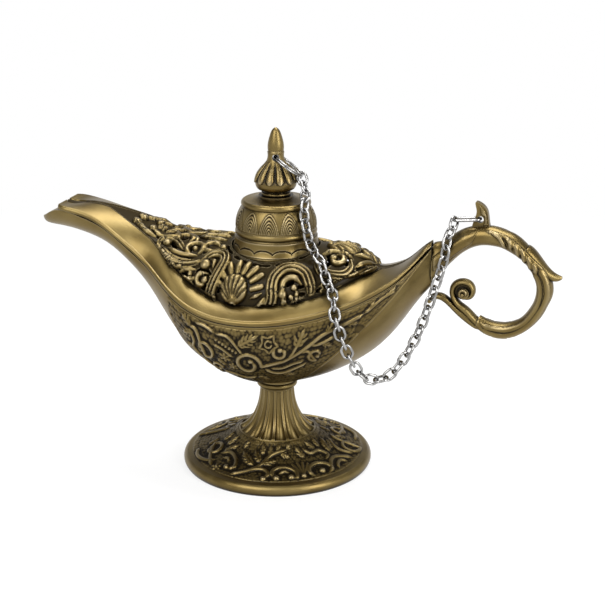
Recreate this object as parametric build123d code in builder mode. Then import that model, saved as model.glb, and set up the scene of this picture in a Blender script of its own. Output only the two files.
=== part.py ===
from math import acos, cos, degrees, pi, radians, sin, sqrt
import os

from build123d import *

os.makedirs("parts", exist_ok=True)

# Frame: foot centre on the table at the origin, Z up, spout towards -X, handle towards +X. Millimetres.

# pedestal
FOOT_R = 37.0
FOOT_EDGE = 4.0
FOOT_WALL = 2.6
STEM_TOP = 33.4
STEM_NECK_R = 6.6
STEM_RING_R = 7.9
FLUTE_END_R = 14.4
FLUTE_END_Z = 13.6
FLUTES = 16
SCREW_R = 2.0
SCREW_HEAD_R = 3.9
SCREW_HEAD_H = 2.6

# bowl and cover
BOWL_LENGTH = 156.5
BOWL_BEAM = 70.0
BOWL_RISE = 62.0
BOWL_Z = STEM_TOP + 1.6
WALL = 2.4
COVER_T = 1.9
COVER_GAP = 0.3
SKIRT_T = 1.4
SKIRT_DROP = 2.2
BEAD_H = 1.9

# lid and collar
DOME_R = 15.3
COLLAR_FLARE = 1.3
COLLAR_SEAT = 85.6
COLLAR_H = 7.2
LID_CLEAR = 0.3
LID_WALL = 2.0
DRUM_H = 10.6
SHOULDER_R = 12.2
LID_TOP_H = 14.6
PLUG_H = 4.0
FINIAL_BASE_R = 5.6
BULB_R = 7.8
BULB_FLUTES = 12
FINIAL_H = 25.6
FINIAL_NECK_R = 3.2
RING_HOLE_R = 1.35
RING_HOLE_H = 14.6
STUD_R = 1.5

# chain
WIRE = 1.0
LINK_L = 6.1
LINK_W = 4.6
LINK_PLAY = 0.24
LINKS = 42
RING_R = 6.4
RING_WIRE = 0.7
RING_PITCH = 0.76
RING_AZ = 18.0
RING_DIP = 37.0
RING_HOOK = 30.0
RING_SET = 0.45
OBLONG_L = 11.0
OBLONG_W = 5.0
OBLONG_DIP = 6.0
HOOK_TURN = 55.0
CHAIN_OFF = 2.9
CHAIN_X = 31.0
LEAF_T = 2.4
PEG_R = 2.2
PEG_L = 5.0
PEG_DROP = 2.8
LEAF_HOLE_R = 1.25

KX = BOWL_LENGTH / 156.5
KY = BOWL_BEAM / 70.0
KZ = BOWL_RISE / 62.0

# x, half width at the rim, rim height, keel height
HULL_TABLE = [
    (-95.5, 3.2, 92.8, 90.2),
    (-91.0, 7.6, 95.4, 89.2),
    (-86.0, 9.6, 97.2, 88.8),
    (-77.0, 10.9, 95.8, 87.2),
    (-68.0, 12.1, 93.0, 84.3),
    (-58.0, 14.6, 87.6, 78.2),
    (-47.0, 17.9, 80.6, 67.0),
    (-38.0, 23.8, 75.0, 55.5),
    (-28.0, 30.0, 70.0, 45.0),
    (-16.0, 33.8, 66.8, 38.0),
    (-2.0, 35.0, 66.1, 35.0),
    (12.0, 32.4, 67.0, 36.6),
    (24.0, 28.0, 69.4, 40.8),
    (34.0, 24.0, 72.7, 46.5),
    (42.0, 20.0, 76.4, 53.0),
    (49.0, 15.4, 80.6, 61.4),
    (54.5, 10.4, 85.4, 69.6),
    (58.0, 7.6, 89.2, 74.3),
    (61.0, 5.8, 92.6, 78.0),
]

# x, half width of the lip, half width of the pierced field, height of the field's edge, height of the crown
COVER_TABLE = [
    (-86.0, 9.2, 0.8, 99.4, 99.2),
    (-77.0, 10.7, 0.9, 99.0, 98.8),
    (-68.0, 12.0, 1.4, 98.2, 97.8),
    (-58.0, 14.5, 6.2, 94.6, 93.8),
    (-47.0, 17.8, 10.8, 89.6, 90.4),
    (-38.0, 23.7, 16.5, 83.6, 88.8),
    (-28.0, 29.9, 21.4, 77.0, 88.2),
    (-16.0, 33.7, 25.4, 72.6, 88.6),
    (-2.0, 34.9, 27.4, 71.8, 89.0),
    (12.0, 32.3, 25.4, 73.4, 89.0),
    (24.0, 27.9, 20.6, 76.2, 88.6),
    (34.0, 23.9, 11.5, 80.6, 86.6),
    (42.0, 19.9, 1.6, 82.6, 82.8),
    (49.0, 15.2, 1.2, 85.2, 85.2),
    (54.5, 9.6, 1.0, 89.6, 89.6),
    (58.0, 5.6, 0.9, 92.8, 92.8),
    (60.2, 2.6, 0.8, 94.4, 94.4),
]

# along the hanging part of the chain: place between the lip and the handle, share of the full drop
SAG = [
    (0.05, 0.25),
    (0.11, 0.47),
    (0.18, 0.68),
    (0.26, 0.86),
    (0.36, 0.97),
    (0.47, 1.02),
    (0.58, 0.98),
    (0.69, 0.85),
    (0.78, 0.69),
    (0.86, 0.47),
    (0.93, 0.24),
]

HULL = [(x * KX, w * KY, BOWL_Z + (r - 35.0) * KZ, BOWL_Z + (k - 35.0) * KZ) for x, w, r, k in HULL_TABLE]
TAIL_X = HULL[-1][0]
ROOT_Z = 0.5 * (HULL[-1][2] + HULL[-1][3])


def along(table, x, col):
    for a, b in zip(table[:-1], table[1:]):
        if x <= b[0]:
            t = max(0.0, (x - a[0]) / (b[0] - a[0]))
            return a[col] + (b[col] - a[col]) * t
    return table[-1][col]


COVER = []
for cx, cw, fw, fz, cz in COVER_TABLE:
    rim = along(HULL, cx * KX, 2)
    COVER.append((cx * KX, cw * KY, rim, fw * KY, BOWL_Z + (fz - 35.0) * KZ, BOWL_Z + (cz - 35.0) * KZ))

SEAT_Z = BOWL_Z + (COLLAR_SEAT - 35.0) * KZ
SEAM_Z = SEAT_Z + COLLAR_H
BORE_R = DOME_R - 2.9
COLLAR_R = DOME_R + COLLAR_FLARE
LID_TOP = SEAM_Z + LID_TOP_H
FINIAL_TOP = LID_TOP + FINIAL_H
HOLE_Z = LID_TOP + RING_HOLE_H


def cross_plane(x):
    return Plane(origin=(x, 0, 0), x_dir=(0, 1, 0), z_dir=(1, 0, 0))


def belly(w, top, low, full=2.1):
    pts = []
    for i in range(-6, 7):
        a = i * pi / 12
        s = abs(sin(a)) ** (2 / full)
        y = w * s if a > 0 else -w * s
        pts.append((y, top - (top - low) * abs(cos(a)) ** (2 / full)))
    return pts


def polar(r, turn, z):
    a = radians(turn)
    return (r * cos(a), r * sin(a), z)


def flute_cutter(points, radii, turn):
    # a tapered groove that follows a profile line, one of a ring of them
    n = len(points)
    faces = []
    for i in range(n):
        r, z = points[i]
        a = points[max(0, i - 1)]
        b = points[min(n - 1, i + 1)]
        d = Vector(*polar(b[0] - a[0], turn, b[1] - a[1]))
        side = Vector(*polar(1.0, turn + 90.0, 0.0))
        with BuildSketch(Plane(origin=polar(r, turn, z), x_dir=side, z_dir=d)) as ring:
            Circle(radii[i])
        faces.append(ring.sketch)
    loft(sections=faces, mode=Mode.SUBTRACT)


# pedestal: foot, fluted stem and the ring under the bowl
STEM_LINE = [
    (STEM_NECK_R, STEM_TOP - 3.0),
    (STEM_NECK_R + 0.45, STEM_TOP - 7.5),
    (STEM_NECK_R + 2.0, STEM_TOP - 13.0),
    (FLUTE_END_R - 3.4, FLUTE_END_Z + 2.6),
    (FLUTE_END_R, FLUTE_END_Z),
]
with BuildPart() as pedestal:
    with BuildSketch(Plane.XZ):
        with BuildLine():
            top = Line((SCREW_R + 0.3, STEM_TOP), (STEM_RING_R - 1.2, STEM_TOP))
            bead = ThreePointArc(top @ 1, (STEM_RING_R, STEM_TOP - 1.2), (STEM_RING_R - 1.2, STEM_TOP - 2.4))
            under = Line(bead @ 1, STEM_LINE[0])
            stem = Spline(*STEM_LINE)
            skirt = Spline(
                stem @ 1,
                (FLUTE_END_R + 0.26 * (FOOT_R - FLUTE_END_R), FOOT_EDGE + 5.2),
                (FLUTE_END_R + 0.62 * (FOOT_R - FLUTE_END_R), FOOT_EDGE + 1.9),
                (FOOT_R - 2.9, FOOT_EDGE + 0.2),
            )
            flat = Line(skirt @ 1, (FOOT_R - 1.4, FOOT_EDGE))
            edge = ThreePointArc(flat @ 1, (FOOT_R, FOOT_EDGE - 1.5), (FOOT_R - 0.5, 0.0))
            rim_in = Line(edge @ 1, (FOOT_R - 3.4, 0.0))
            roof = Spline(
                rim_in @ 1,
                (FLUTE_END_R + 0.60 * (FOOT_R - FLUTE_END_R), FOOT_EDGE + 1.6 - FOOT_WALL),
                (FLUTE_END_R + 0.10 * (FOOT_R - FLUTE_END_R), FOOT_EDGE + 6.4 - FOOT_WALL),
                (SCREW_HEAD_R + 1.4, FLUTE_END_Z + 1.4),
            )
            well = Line(roof @ 1, (SCREW_HEAD_R + 0.4, FLUTE_END_Z + 3.0))
            web = Line(well @ 1, (SCREW_R + 0.3, FLUTE_END_Z + 3.0))
            Line(web @ 1, top @ 0)
        make_face()
    revolve(axis=Axis.Z)
    for k in range(FLUTES):
        line = [(r + 0.45 + 0.02 * i, z) for i, (r, z) in enumerate(STEM_LINE)]
        flute_cutter(line, [0.95, 1.05, 1.35, 1.85, 2.3], k * 360.0 / FLUTES)
pedestal.part.label = "pedestal"
export_step(pedestal.part, "parts/pedestal.step")

# screw that draws the stem up to the bowl
SCREW_SEAT = FLUTE_END_Z + 3.0
BOSS_TOP = BOWL_Z + 7.0
with BuildPart() as pedestal_screw:
    with BuildSketch(Plane.XY.offset(SCREW_SEAT - SCREW_HEAD_H)):
        Circle(SCREW_HEAD_R)
    extrude(amount=SCREW_HEAD_H)
    with BuildSketch(Plane.XY.offset(SCREW_SEAT)):
        Circle(SCREW_R)
    extrude(amount=BOSS_TOP - 2.0 - SCREW_SEAT)
    with BuildSketch(Plane.XY.offset(SCREW_SEAT - SCREW_HEAD_H)):
        Rectangle(2 * SCREW_HEAD_R, 1.0)
    extrude(amount=1.2, mode=Mode.SUBTRACT)
pedestal_screw.part.label = "pedestal_screw"
export_step(pedestal_screw.part, "parts/pedestal_screw.step")

# bowl: outer hull, hollow with the spout trough, boss under the floor
CAVITY = [row for row in HULL if -82.0 * KX < row[0] < 47.0 * KX]
with BuildPart() as bowl:
    for x, w, r, k in HULL:
        with BuildSketch(cross_plane(x)):
            with BuildLine():
                s = Spline(*belly(w, r, k))
                Line(s @ 1, s @ 0)
            make_face()
    loft()
    with BuildSketch(Plane.XY.offset(STEM_TOP)):
        Circle(STEM_RING_R - 0.6)
    extrude(amount=4.0)
    for x, w, r, k in CAVITY:
        with BuildSketch(cross_plane(x)):
            with BuildLine():
                s = Spline(*belly(w - WALL, r, k + WALL))
                a = Line(s @ 1, (w - WALL, r + 3.0))
                b = Line(a @ 1, (WALL - w, r + 3.0))
                Line(b @ 1, s @ 0)
            make_face()
    loft(mode=Mode.SUBTRACT)
    with BuildSketch(Plane.XY.offset(BOWL_Z + 0.6)):
        Circle(SCREW_R + 3.0)
    extrude(amount=BOSS_TOP - BOWL_Z - 0.6)
    with BuildSketch(Plane.XY.offset(STEM_TOP)):
        Circle(SCREW_R + 0.05)
    extrude(amount=BOSS_TOP - 1.6 - STEM_TOP, mode=Mode.SUBTRACT)
    # peg hole for the handle in the solid tail
    with BuildSketch(cross_plane(TAIL_X - PEG_L - 0.4)):
        with Locations((0, ROOT_Z - PEG_DROP)):
            Circle(PEG_R + 0.05)
    extrude(amount=PEG_L + 0.4, mode=Mode.SUBTRACT)
bowl.part.label = "bowl"
export_step(bowl.part, "parts/bowl.step")

# cover: lip bead, smooth band, crowned field with the pierced openings, skirt inside the bowl's rim
FIELD_R = COLLAR_R + 0.9


def in_field(x, v, side):
    # place a point of the openwork: v runs from the collar to the edge of the field
    hole = sqrt(max(0.0, FIELD_R ** 2 - x ** 2))
    return (x, side * (hole + v * (along(COVER, x, 3) - hole)))


def ribbon(points):
    # closed outline round a bent centre line with half widths
    left = []
    right = []
    n = len(points)
    for i in range(n):
        x, y, h = points[i]
        a = points[max(0, i - 1)]
        b = points[min(n - 1, i + 1)]
        dx = b[0] - a[0]
        dy = b[1] - a[1]
        d = sqrt(dx * dx + dy * dy)
        left.append((x - h * dy / d, y + h * dx / d))
        right.append((x + h * dy / d, y - h * dx / d))
        if i == 0:
            head = (x - h * dx / d, y - h * dy / d)
        if i == n - 1:
            tip = (x + h * dx / d, y + h * dy / d)
    return [head] + left + [tip] + right[::-1]


# openings of the crown, seen from above: x, place across the field, half width
CROWN_WINDOWS = [
    [(-22.4, 0.26, 0.8), (-25.0, 0.40, 1.3), (-24.4, 0.58, 0.8)],
    [(-28.4, 0.28, 0.9), (-31.6, 0.46, 1.7), (-30.2, 0.68, 0.9)],
    [(-34.8, 0.22, 0.8), (-37.8, 0.46, 1.5), (-36.2, 0.72, 0.9)],
    [(-41.0, 0.80, 0.8), (-44.8, 0.60, 1.4), (-48.8, 0.40, 0.8)],
    [(-49.6, 0.80, 0.6), (-53.0, 0.60, 1.0), (-56.5, 0.42, 0.6)],
    [(22.0, 0.34, 0.8), (24.4, 0.52, 1.3), (23.4, 0.70, 0.8)],
    [(28.4, 0.30, 0.8), (30.8, 0.50, 1.3), (30.2, 0.72, 0.8)],
]
AXIS_WINDOWS = [
    [(-33.0, 0.0, 0.7), (-28.6, 0.0, 1.9), (-22.6, 0.0, 0.9)],
    [(-47.4, 0.0, 0.6), (-42.6, 0.0, 1.4), (-38.0, 0.0, 0.7)],
    [(32.4, 0.0, 0.6), (35.0, 0.0, 1.1), (37.4, 0.0, 0.5)],
]
# openings round the collar: turn from the handle side at both ends
COLLAR_SLOTS = [(24.0, 44.0), (52.0, 72.0), (80.0, 100.0), (108.0, 128.0), (136.0, 156.0)]
# openings of the steep flanks, seen from the side: x, share of the flank's height, half width
FLANK_WINDOWS = [
    [(-36.6, 0.50, 0.6), (-33.6, 0.62, 0.9), (-30.6, 0.66, 0.6)],
    [(-32.2, 0.22, 0.6), (-30.2, 0.14, 0.8), (-28.2, 0.20, 0.6)],
    [(-26.4, 0.18, 0.7), (-22.6, 0.12, 1.0), (-18.4, 0.16, 0.7)],
    [(-24.4, 0.62, 0.7), (-21.4, 0.74, 1.2), (-18.6, 0.66, 0.8)],
    [(-21.0, 0.46, 0.5), (-18.8, 0.42, 0.8), (-16.6, 0.50, 0.5)],
    [(-14.6, 0.22, 0.5), (-13.4, 0.40, 0.8), (-12.8, 0.62, 0.5)],
    [(4.8, 0.20, 0.5), (5.2, 0.42, 0.8), (6.0, 0.64, 0.5)],
    [(8.4, 0.44, 0.6), (10.2, 0.62, 1.1), (13.4, 0.70, 0.8)],
    [(11.0, 0.20, 0.6), (14.4, 0.14, 0.9), (18.0, 0.20, 0.6)],
    [(15.4, 0.48, 0.6), (18.0, 0.56, 1.0), (20.6, 0.48, 0.6)],
    [(22.0, 0.18, 0.6), (24.4, 0.22, 0.8), (26.4, 0.34, 0.5)],
]


def flank_z(x, share):
    e = along(COVER, x, 4)
    return e + 0.6 + share * (0.64 * (along(COVER, x, 5) - e) - 0.6)


def cover_bead(w):
    return min(1.0, w / 6.0) * BEAD_H


with BuildPart() as cover:
    for x, w, r, fw, fz, cz in COVER:
        base = r + COVER_GAP
        b = cover_bead(w)
        with BuildSketch(cross_plane(x)):
            with BuildLine():
                low = Line((-w, base - 1.0), (w, base - 1.0))
                edge_r = Line(low @ 1, (w, base))
                bead_r = ThreePointArc(edge_r @ 1, (w + 0.1 * b, base + 0.5 * b), (w - 0.45 * b, base + b))
                mid = (0.5 * (w - 0.45 * b + fw + 0.5), 0.5 * (base + b + fz) + 0.12 * (fz - base - b))
                band_r = Spline(bead_r @ 1, mid, (fw + 0.5, fz))
                step_r = Line(band_r @ 1, (fw, fz - 0.6))
                e = fz - 0.6
                c = cz - e
                arch = Spline(
                    step_r @ 1,
                    (0.94 * fw, e + 0.36 * c),
                    (0.82 * fw, e + 0.60 * c),
                    (0.60 * fw, e + 0.83 * c),
                    (0.32 * fw, e + 0.96 * c),
                    (0.0, cz),
                    (-0.32 * fw, e + 0.96 * c),
                    (-0.60 * fw, e + 0.83 * c),
                    (-0.82 * fw, e + 0.60 * c),
                    (-0.94 * fw, e + 0.36 * c),
                    (-fw, e),
                )
                step_l = Line(arch @ 1, (-fw - 0.5, fz))
                band_l = Spline(step_l @ 1, (-mid[0], mid[1]), (0.45 * b - w, base + b))
                bead_l = ThreePointArc(band_l @ 1, (-w - 0.1 * b, base + 0.5 * b), (-w, base))
                Line(bead_l @ 1, low @ 0)
            make_face()
    loft()
    # the underside follows the bowl's rim
    for x, w, r, k in HULL:
        with BuildSketch(cross_plane(x)):
            with Locations((0, r + COVER_GAP)):
                Rectangle(2 * w + 6.0, r - k + 6.0, align=(Align.CENTER, Align.MAX))
    loft(mode=Mode.SUBTRACT)
    # skirt
    for x, w, r, k in CAVITY:
        drop = min(SKIRT_DROP, 0.1 * (r - k - WALL))
        with BuildSketch(cross_plane(x)):
            with Locations((0, r - drop)):
                Rectangle(2 * (w - WALL - COVER_GAP), drop + 1.0, align=(Align.CENTER, Align.MIN))
    loft()
    # hollow
    for x, w, r, fw, fz, cz in [row for row in COVER if -82.0 * KX < row[0] < 47.0 * KX]:
        wc = w - WALL - COVER_GAP - SKIRT_T
        fc = max(0.6, min(fw - 1.0, wc - 1.0))
        top = min(cz, fz + 0.8 * (cz - fz)) if fw < 3.0 else cz
        e = fz - 0.6 - COVER_T
        c = top - COVER_T - e
        with BuildSketch(cross_plane(x)):
            with BuildLine():
                low = Line((-wc, r - 4.0), (wc, r - 4.0))
                wall_r = Line(low @ 1, (wc, r + 0.6))
                band_r = Line(wall_r @ 1, (fc, e))
                arch = Spline(
                    band_r @ 1,
                    (0.94 * fc, e + 0.36 * c),
                    (0.82 * fc, e + 0.60 * c),
                    (0.60 * fc, e + 0.83 * c),
                    (0.32 * fc, e + 0.96 * c),
                    (0.0, e + c),
                    (-0.32 * fc, e + 0.96 * c),
                    (-0.60 * fc, e + 0.83 * c),
                    (-0.82 * fc, e + 0.60 * c),
                    (-0.94 * fc, e + 0.36 * c),
                    (-fc, e),
                )
                band_l = Line(arch @ 1, (-wc, r + 0.6))
                Line(band_l @ 1, low @ 0)
            make_face()
    loft(mode=Mode.SUBTRACT)
    # seat ring for the collar
    with BuildSketch(Plane.XY.offset(SEAT_Z - 4.0)):
        Circle(COLLAR_R + 0.8)
    extrude(amount=4.0)
    with BuildSketch(Plane.XY.offset(SEAT_Z)):
        Circle(COLLAR_R + 0.4)
    extrude(amount=20.0, mode=Mode.SUBTRACT)
    with BuildSketch(Plane.XY.offset(SEAT_Z - 20.0)):
        Circle(BORE_R + 0.9)
    extrude(amount=22.0, mode=Mode.SUBTRACT)
    # pierced openings, the same on both sides
    with BuildSketch(Plane.XY.offset(SEAT_Z - 18.0)):
        for window in CROWN_WINDOWS:
            for side in (-1, 1):
                pts = [in_field(x * KX, v, side) + (h,) for x, v, h in window]
                with BuildLine():
                    Spline(*ribbon(pts), periodic=True)
                make_face()
        for window in AXIS_WINDOWS:
            with BuildLine():
                Spline(*ribbon([(x * KX, y, h) for x, y, h in window]), periodic=True)
            make_face()
        for low, high in COLLAR_SLOTS:
            for side in (-1, 1):
                turns = [low + (high - low) * i / 3 for i in range(4)]
                pts = [polar(FIELD_R + 1.0, side * t, 0.6) for t in turns]
                with BuildLine():
                    Spline(*ribbon(pts), periodic=True)
                make_face()
    extrude(amount=36.0, mode=Mode.SUBTRACT)
    with BuildSketch(Plane.XZ.offset(-60.0)):
        for window in FLANK_WINDOWS:
            with BuildLine():
                Spline(*ribbon([(x * KX, flank_z(x * KX, v), h) for x, v, h in window]), periodic=True)
            make_face()
    extrude(amount=120.0, mode=Mode.SUBTRACT)
cover.part.label = "cover"
export_step(cover.part, "parts/cover.step")

# collar under the lid
with BuildPart() as neck_collar:
    with BuildSketch(Plane.XZ):
        with BuildLine():
            a = Line((BORE_R, SEAT_Z - 4.6), (BORE_R + 0.6, SEAT_Z - 4.6))
            b = Line(a @ 1, (BORE_R + 0.6, SEAT_Z))
            c = Line(b @ 1, (COLLAR_R, SEAT_Z))
            d = Line(c @ 1, (COLLAR_R, SEAT_Z + 0.7))
            e = Spline(d @ 1, (DOME_R + 0.35, SEAT_Z + 0.45 * COLLAR_H), (DOME_R, SEAM_Z - 0.5))
            f = Line(e @ 1, (DOME_R - 0.4, SEAM_Z))
            g = Line(f @ 1, (BORE_R, SEAM_Z))
            Line(g @ 1, a @ 0)
        make_face()
    revolve(axis=Axis.Z)
neck_collar.part.label = "neck_collar"
export_step(neck_collar.part, "parts/neck_collar.step")

# lid: drum with a foot bead, shoulder bead, stepped top and the plug
with BuildPart() as lid_dome:
    with BuildSketch(Plane.XZ):
        with BuildLine():
            z0 = SEAM_Z
            zs = SEAM_Z + DRUM_H
            plug_r = BORE_R - LID_CLEAR
            a = Line((plug_r - LID_WALL, z0 - PLUG_H), (plug_r, z0 - PLUG_H))
            b = Line(a @ 1, (plug_r, z0))
            c = Line(b @ 1, (DOME_R - 0.3, z0))
            d = ThreePointArc(c @ 1, (DOME_R + 0.25, z0 + 1.1), (DOME_R - 0.2, z0 + 2.2))
            f = Spline(d @ 1, (DOME_R - 0.25, z0 + 0.45 * DRUM_H), (SHOULDER_R + 0.5, zs))
            g = ThreePointArc(f @ 1, (SHOULDER_R + 1.0, zs + 1.3), (SHOULDER_R, zs + 2.4))
            h = Spline(g @ 1, (0.76 * SHOULDER_R, zs + 2.7), (FINIAL_BASE_R + 1.0, LID_TOP - 0.6))
            i = Line(h @ 1, (FINIAL_BASE_R + 1.0, LID_TOP))
            j = Line(i @ 1, (STUD_R + 0.2, LID_TOP))
            k = Line(j @ 1, (STUD_R + 0.2, LID_TOP - 3.0))
            seat = Line(k @ 1, (2 * STUD_R + 0.6, LID_TOP - 3.0))
            m = Line(seat @ 1, (SHOULDER_R - LID_WALL - 1.0, zs + 2.7 - LID_WALL))
            n = Spline(m @ 1, (SHOULDER_R + 0.4 - LID_WALL, zs - 1.0), (plug_r - LID_WALL, z0 + 0.3 * DRUM_H))
            Line(n @ 1, a @ 0)
        make_face()
    revolve(axis=Axis.Z)
lid_dome.part.label = "lid_dome"
export_step(lid_dome.part, "parts/lid_dome.step")

# finial: foot bead, fluted bulb, neck with the cross hole, pointed tip
FZ = LID_TOP
BULB_LINE = [
    (FINIAL_NECK_R + 0.3, FZ + 13.4),
    (FINIAL_NECK_R + 1.5, FZ + 10.9),
    (BULB_R - 1.0, FZ + 8.2),
    (BULB_R + 0.1, FZ + 5.9),
]
with BuildPart() as finial:
    with BuildSketch(Plane.XZ):
        with BuildLine():
            a = Line((0, FZ), (FINIAL_BASE_R - 0.5, FZ))
            b = ThreePointArc(a @ 1, (FINIAL_BASE_R, FZ + 0.7), (FINIAL_BASE_R - 0.6, FZ + 1.4))
            c = Line(b @ 1, (FINIAL_BASE_R - 0.9, FZ + 2.0))
            d = Spline(
                c @ 1,
                (BULB_R - 0.4, FZ + 3.2),
                (BULB_R, FZ + 5.2),
                (BULB_R - 1.0, FZ + 8.2),
                (FINIAL_NECK_R + 1.5, FZ + 10.9),
                (FINIAL_NECK_R + 0.1, FZ + 13.6),
                (FINIAL_NECK_R, FZ + 16.4),
            )
            f = Line(d @ 1, (FINIAL_NECK_R - 0.25, FZ + 16.8))
            g = Spline(
                f @ 1,
                (FINIAL_NECK_R - 0.15, FZ + 18.6),
                (FINIAL_NECK_R - 1.0, FZ + 22.6),
                (FINIAL_NECK_R - 2.1, FZ + 24.9),
                (0, FINIAL_TOP),
            )
            Line(g @ 1, a @ 0)
        make_face()
    revolve(axis=Axis.Z)
    for k in range(BULB_FLUTES):
        flute_cutter([(r + 0.30, z) for r, z in BULB_LINE], [0.42, 0.62, 0.90, 0.70], (k + 0.5) * 360.0 / BULB_FLUTES)
    # cross hole for the ring
    hx = -sin(radians(RING_AZ))
    hy = cos(radians(RING_AZ))
    with BuildSketch(Plane(origin=(-10 * hx, -10 * hy, HOLE_Z), z_dir=(hx, hy, 0))):
        Circle(RING_HOLE_R)
    extrude(amount=20.0, mode=Mode.SUBTRACT)
    with BuildSketch(Plane.XY.offset(FZ)):
        Circle(STUD_R + 0.05)
    extrude(amount=7.0, mode=Mode.SUBTRACT)
finial.part.label = "finial"
export_step(finial.part, "parts/finial.step")

with BuildPart() as finial_screw:
    with BuildSketch(Plane.XY.offset(FZ - 3.0 - 1.6)):
        Circle(2 * STUD_R)
    extrude(amount=1.6)
    with BuildSketch(Plane.XY.offset(FZ - 3.0)):
        Circle(STUD_R)
    extrude(amount=9.5)
    with BuildSketch(Plane.XY.offset(FZ - 3.0 - 1.6)):
        Rectangle(4 * STUD_R, 0.8)
    extrude(amount=0.8, mode=Mode.SUBTRACT)
finial_screw.part.label = "finial_screw"
export_step(finial_screw.part, "parts/finial_screw.step")

# handle: root on the bowl's tail, loop, leaf tip, thumb leaf, scroll and lower branch
def hand(x, z):
    # a point of the handle's side view, carried by the bowl's tail
    return (x - 61.0 + TAIL_X, z - 85.3 + ROOT_Z)


# loop: outer edge x and z, inner edge x and z, half width
LOOP = [
    (61.0, 93.8, 61.0, 78.0, 5.6),
    (65.0, 95.2, 65.6, 84.6, 5.2),
    (69.0, 98.3, 69.8, 89.2, 4.8),
    (72.8, 100.4, 73.8, 92.4, 4.5),
    (77.0, 101.5, 78.2, 94.2, 4.3),
    (82.6, 101.6, 82.6, 94.4, 4.2),
    (88.9, 99.9, 87.2, 93.4, 4.2),
    (95.0, 95.8, 91.8, 91.0, 4.2),
    (100.0, 90.4, 95.6, 87.6, 4.1),
    (103.8, 85.0, 98.2, 83.2, 4.0),
    (105.2, 79.6, 99.0, 79.4, 3.9),
    (104.3, 75.2, 98.6, 75.8, 3.8),
    (102.5, 71.0, 97.0, 72.0, 3.7),
    (99.0, 65.8, 94.2, 68.2, 3.5),
    (93.9, 61.5, 91.0, 66.2, 3.4),
    (88.4, 59.6, 87.6, 65.2, 3.3),
    (82.4, 60.2, 82.8, 65.5, 3.2),
    (77.4, 62.4, 78.8, 67.2, 3.0),
]

# centre x and z, half thickness, half width
SCROLL = [
    (78.6, 65.4, 1.8, 2.6),
    (74.6, 67.8, 1.5, 2.5),
    (70.6, 71.0, 1.3, 2.4),
    (68.5, 74.8, 1.2, 2.3),
    (69.2, 78.4, 1.2, 2.2),
    (72.2, 79.8, 1.15, 2.1),
    (75.0, 78.8, 1.1, 2.0),
    (75.9, 76.4, 1.05, 2.0),
    (74.8, 74.2, 1.0, 1.9),
    (72.9, 73.9, 0.95, 1.8),
]
BRANCH = [
    (79.0, 63.4, 1.7, 2.4),
    (74.6, 65.4, 1.5, 2.4),
    (70.4, 68.6, 1.4, 2.3),
    (66.6, 71.9, 1.3, 2.2),
    (63.4, 73.4, 1.3, 2.1),
    (60.8, 72.6, 1.2, 2.0),
    (59.4, 70.8, 0.9, 1.6),
]
LEAF_TIP = [
    (94.0, 93.6, 2.6, 4.0),
    (99.4, 88.6, 2.4, 3.6),
    (103.2, 85.2, 1.9, 2.8),
    (106.2, 84.2, 1.3, 1.8),
    (108.0, 84.5, 0.5, 0.8),
]


def oval_points(w, t):
    return [(w * sin(i * pi / 6), -t * cos(i * pi / 6)) for i in range(12)]


def oval_face(x, z, up, w, t):
    # oval section standing across the side view, its height along the given direction
    at = hand(x, z)
    side = Vector(0, 1, 0)
    with BuildSketch(Plane(origin=(at[0], 0, at[1]), x_dir=side, z_dir=side.cross(up))) as oval:
        with BuildLine():
            Spline(*oval_points(w, t), periodic=True)
        make_face()
    return oval.sketch


def strand(rows):
    n = len(rows)
    faces = []
    for i in range(n):
        a = rows[max(0, i - 1)]
        b = rows[min(n - 1, i + 1)]
        up = Vector(a[1] - b[1], 0, b[0] - a[0])
        faces.append(oval_face(rows[i][0], rows[i][1], up, rows[i][3], rows[i][2]))
    loft(sections=faces)


def band_loop(rows):
    faces = []
    for xo, zo, xi, zi, w in rows:
        up = Vector(xo - xi, 0, zo - zi)
        faces.append(oval_face(0.5 * (xo + xi), 0.5 * (zo + zi), up, w, 0.5 * up.length))
    loft(sections=faces)


THUMB_HOLE = hand(77.7, 104.0)
THUMB_EDGE = [
    hand(83.4, 98.5),
    hand(81.1, 102.2),
    hand(80.5, 106.0),
    hand(78.6, 109.3),
    hand(75.8, 110.3),
    hand(76.2, 107.6),
    hand(75.6, 104.2),
    hand(74.6, 98.0),
]
with BuildPart() as handle:
    band_loop(LOOP)
    strand(SCROLL)
    strand(BRANCH)
    strand(LEAF_TIP)
    with BuildSketch(Plane.XZ.offset(-2.1)):
        with Locations(hand(72.7, 75.6)):
            Circle(2.0)
    extrude(amount=4.2)
    # thumb leaf with the hole for the ring
    with BuildSketch(Plane.XZ.offset(-LEAF_T / 2)):
        with BuildLine():
            edge = Spline(*THUMB_EDGE)
            Line(edge @ 1, edge @ 0)
        make_face()
    extrude(amount=LEAF_T)
    with BuildSketch(Plane.XZ.offset(-LEAF_T)):
        with Locations(THUMB_HOLE):
            Circle(LEAF_HOLE_R)
    extrude(amount=2 * LEAF_T, mode=Mode.SUBTRACT)
    # peg into the tail
    with BuildSketch(cross_plane(TAIL_X - PEG_L)):
        with Locations((0, ROOT_Z - PEG_DROP)):
            Circle(PEG_R)
    extrude(amount=PEG_L + 2.0)
handle.part.label = "handle"
export_step(handle.part, "parts/handle.step")

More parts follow.
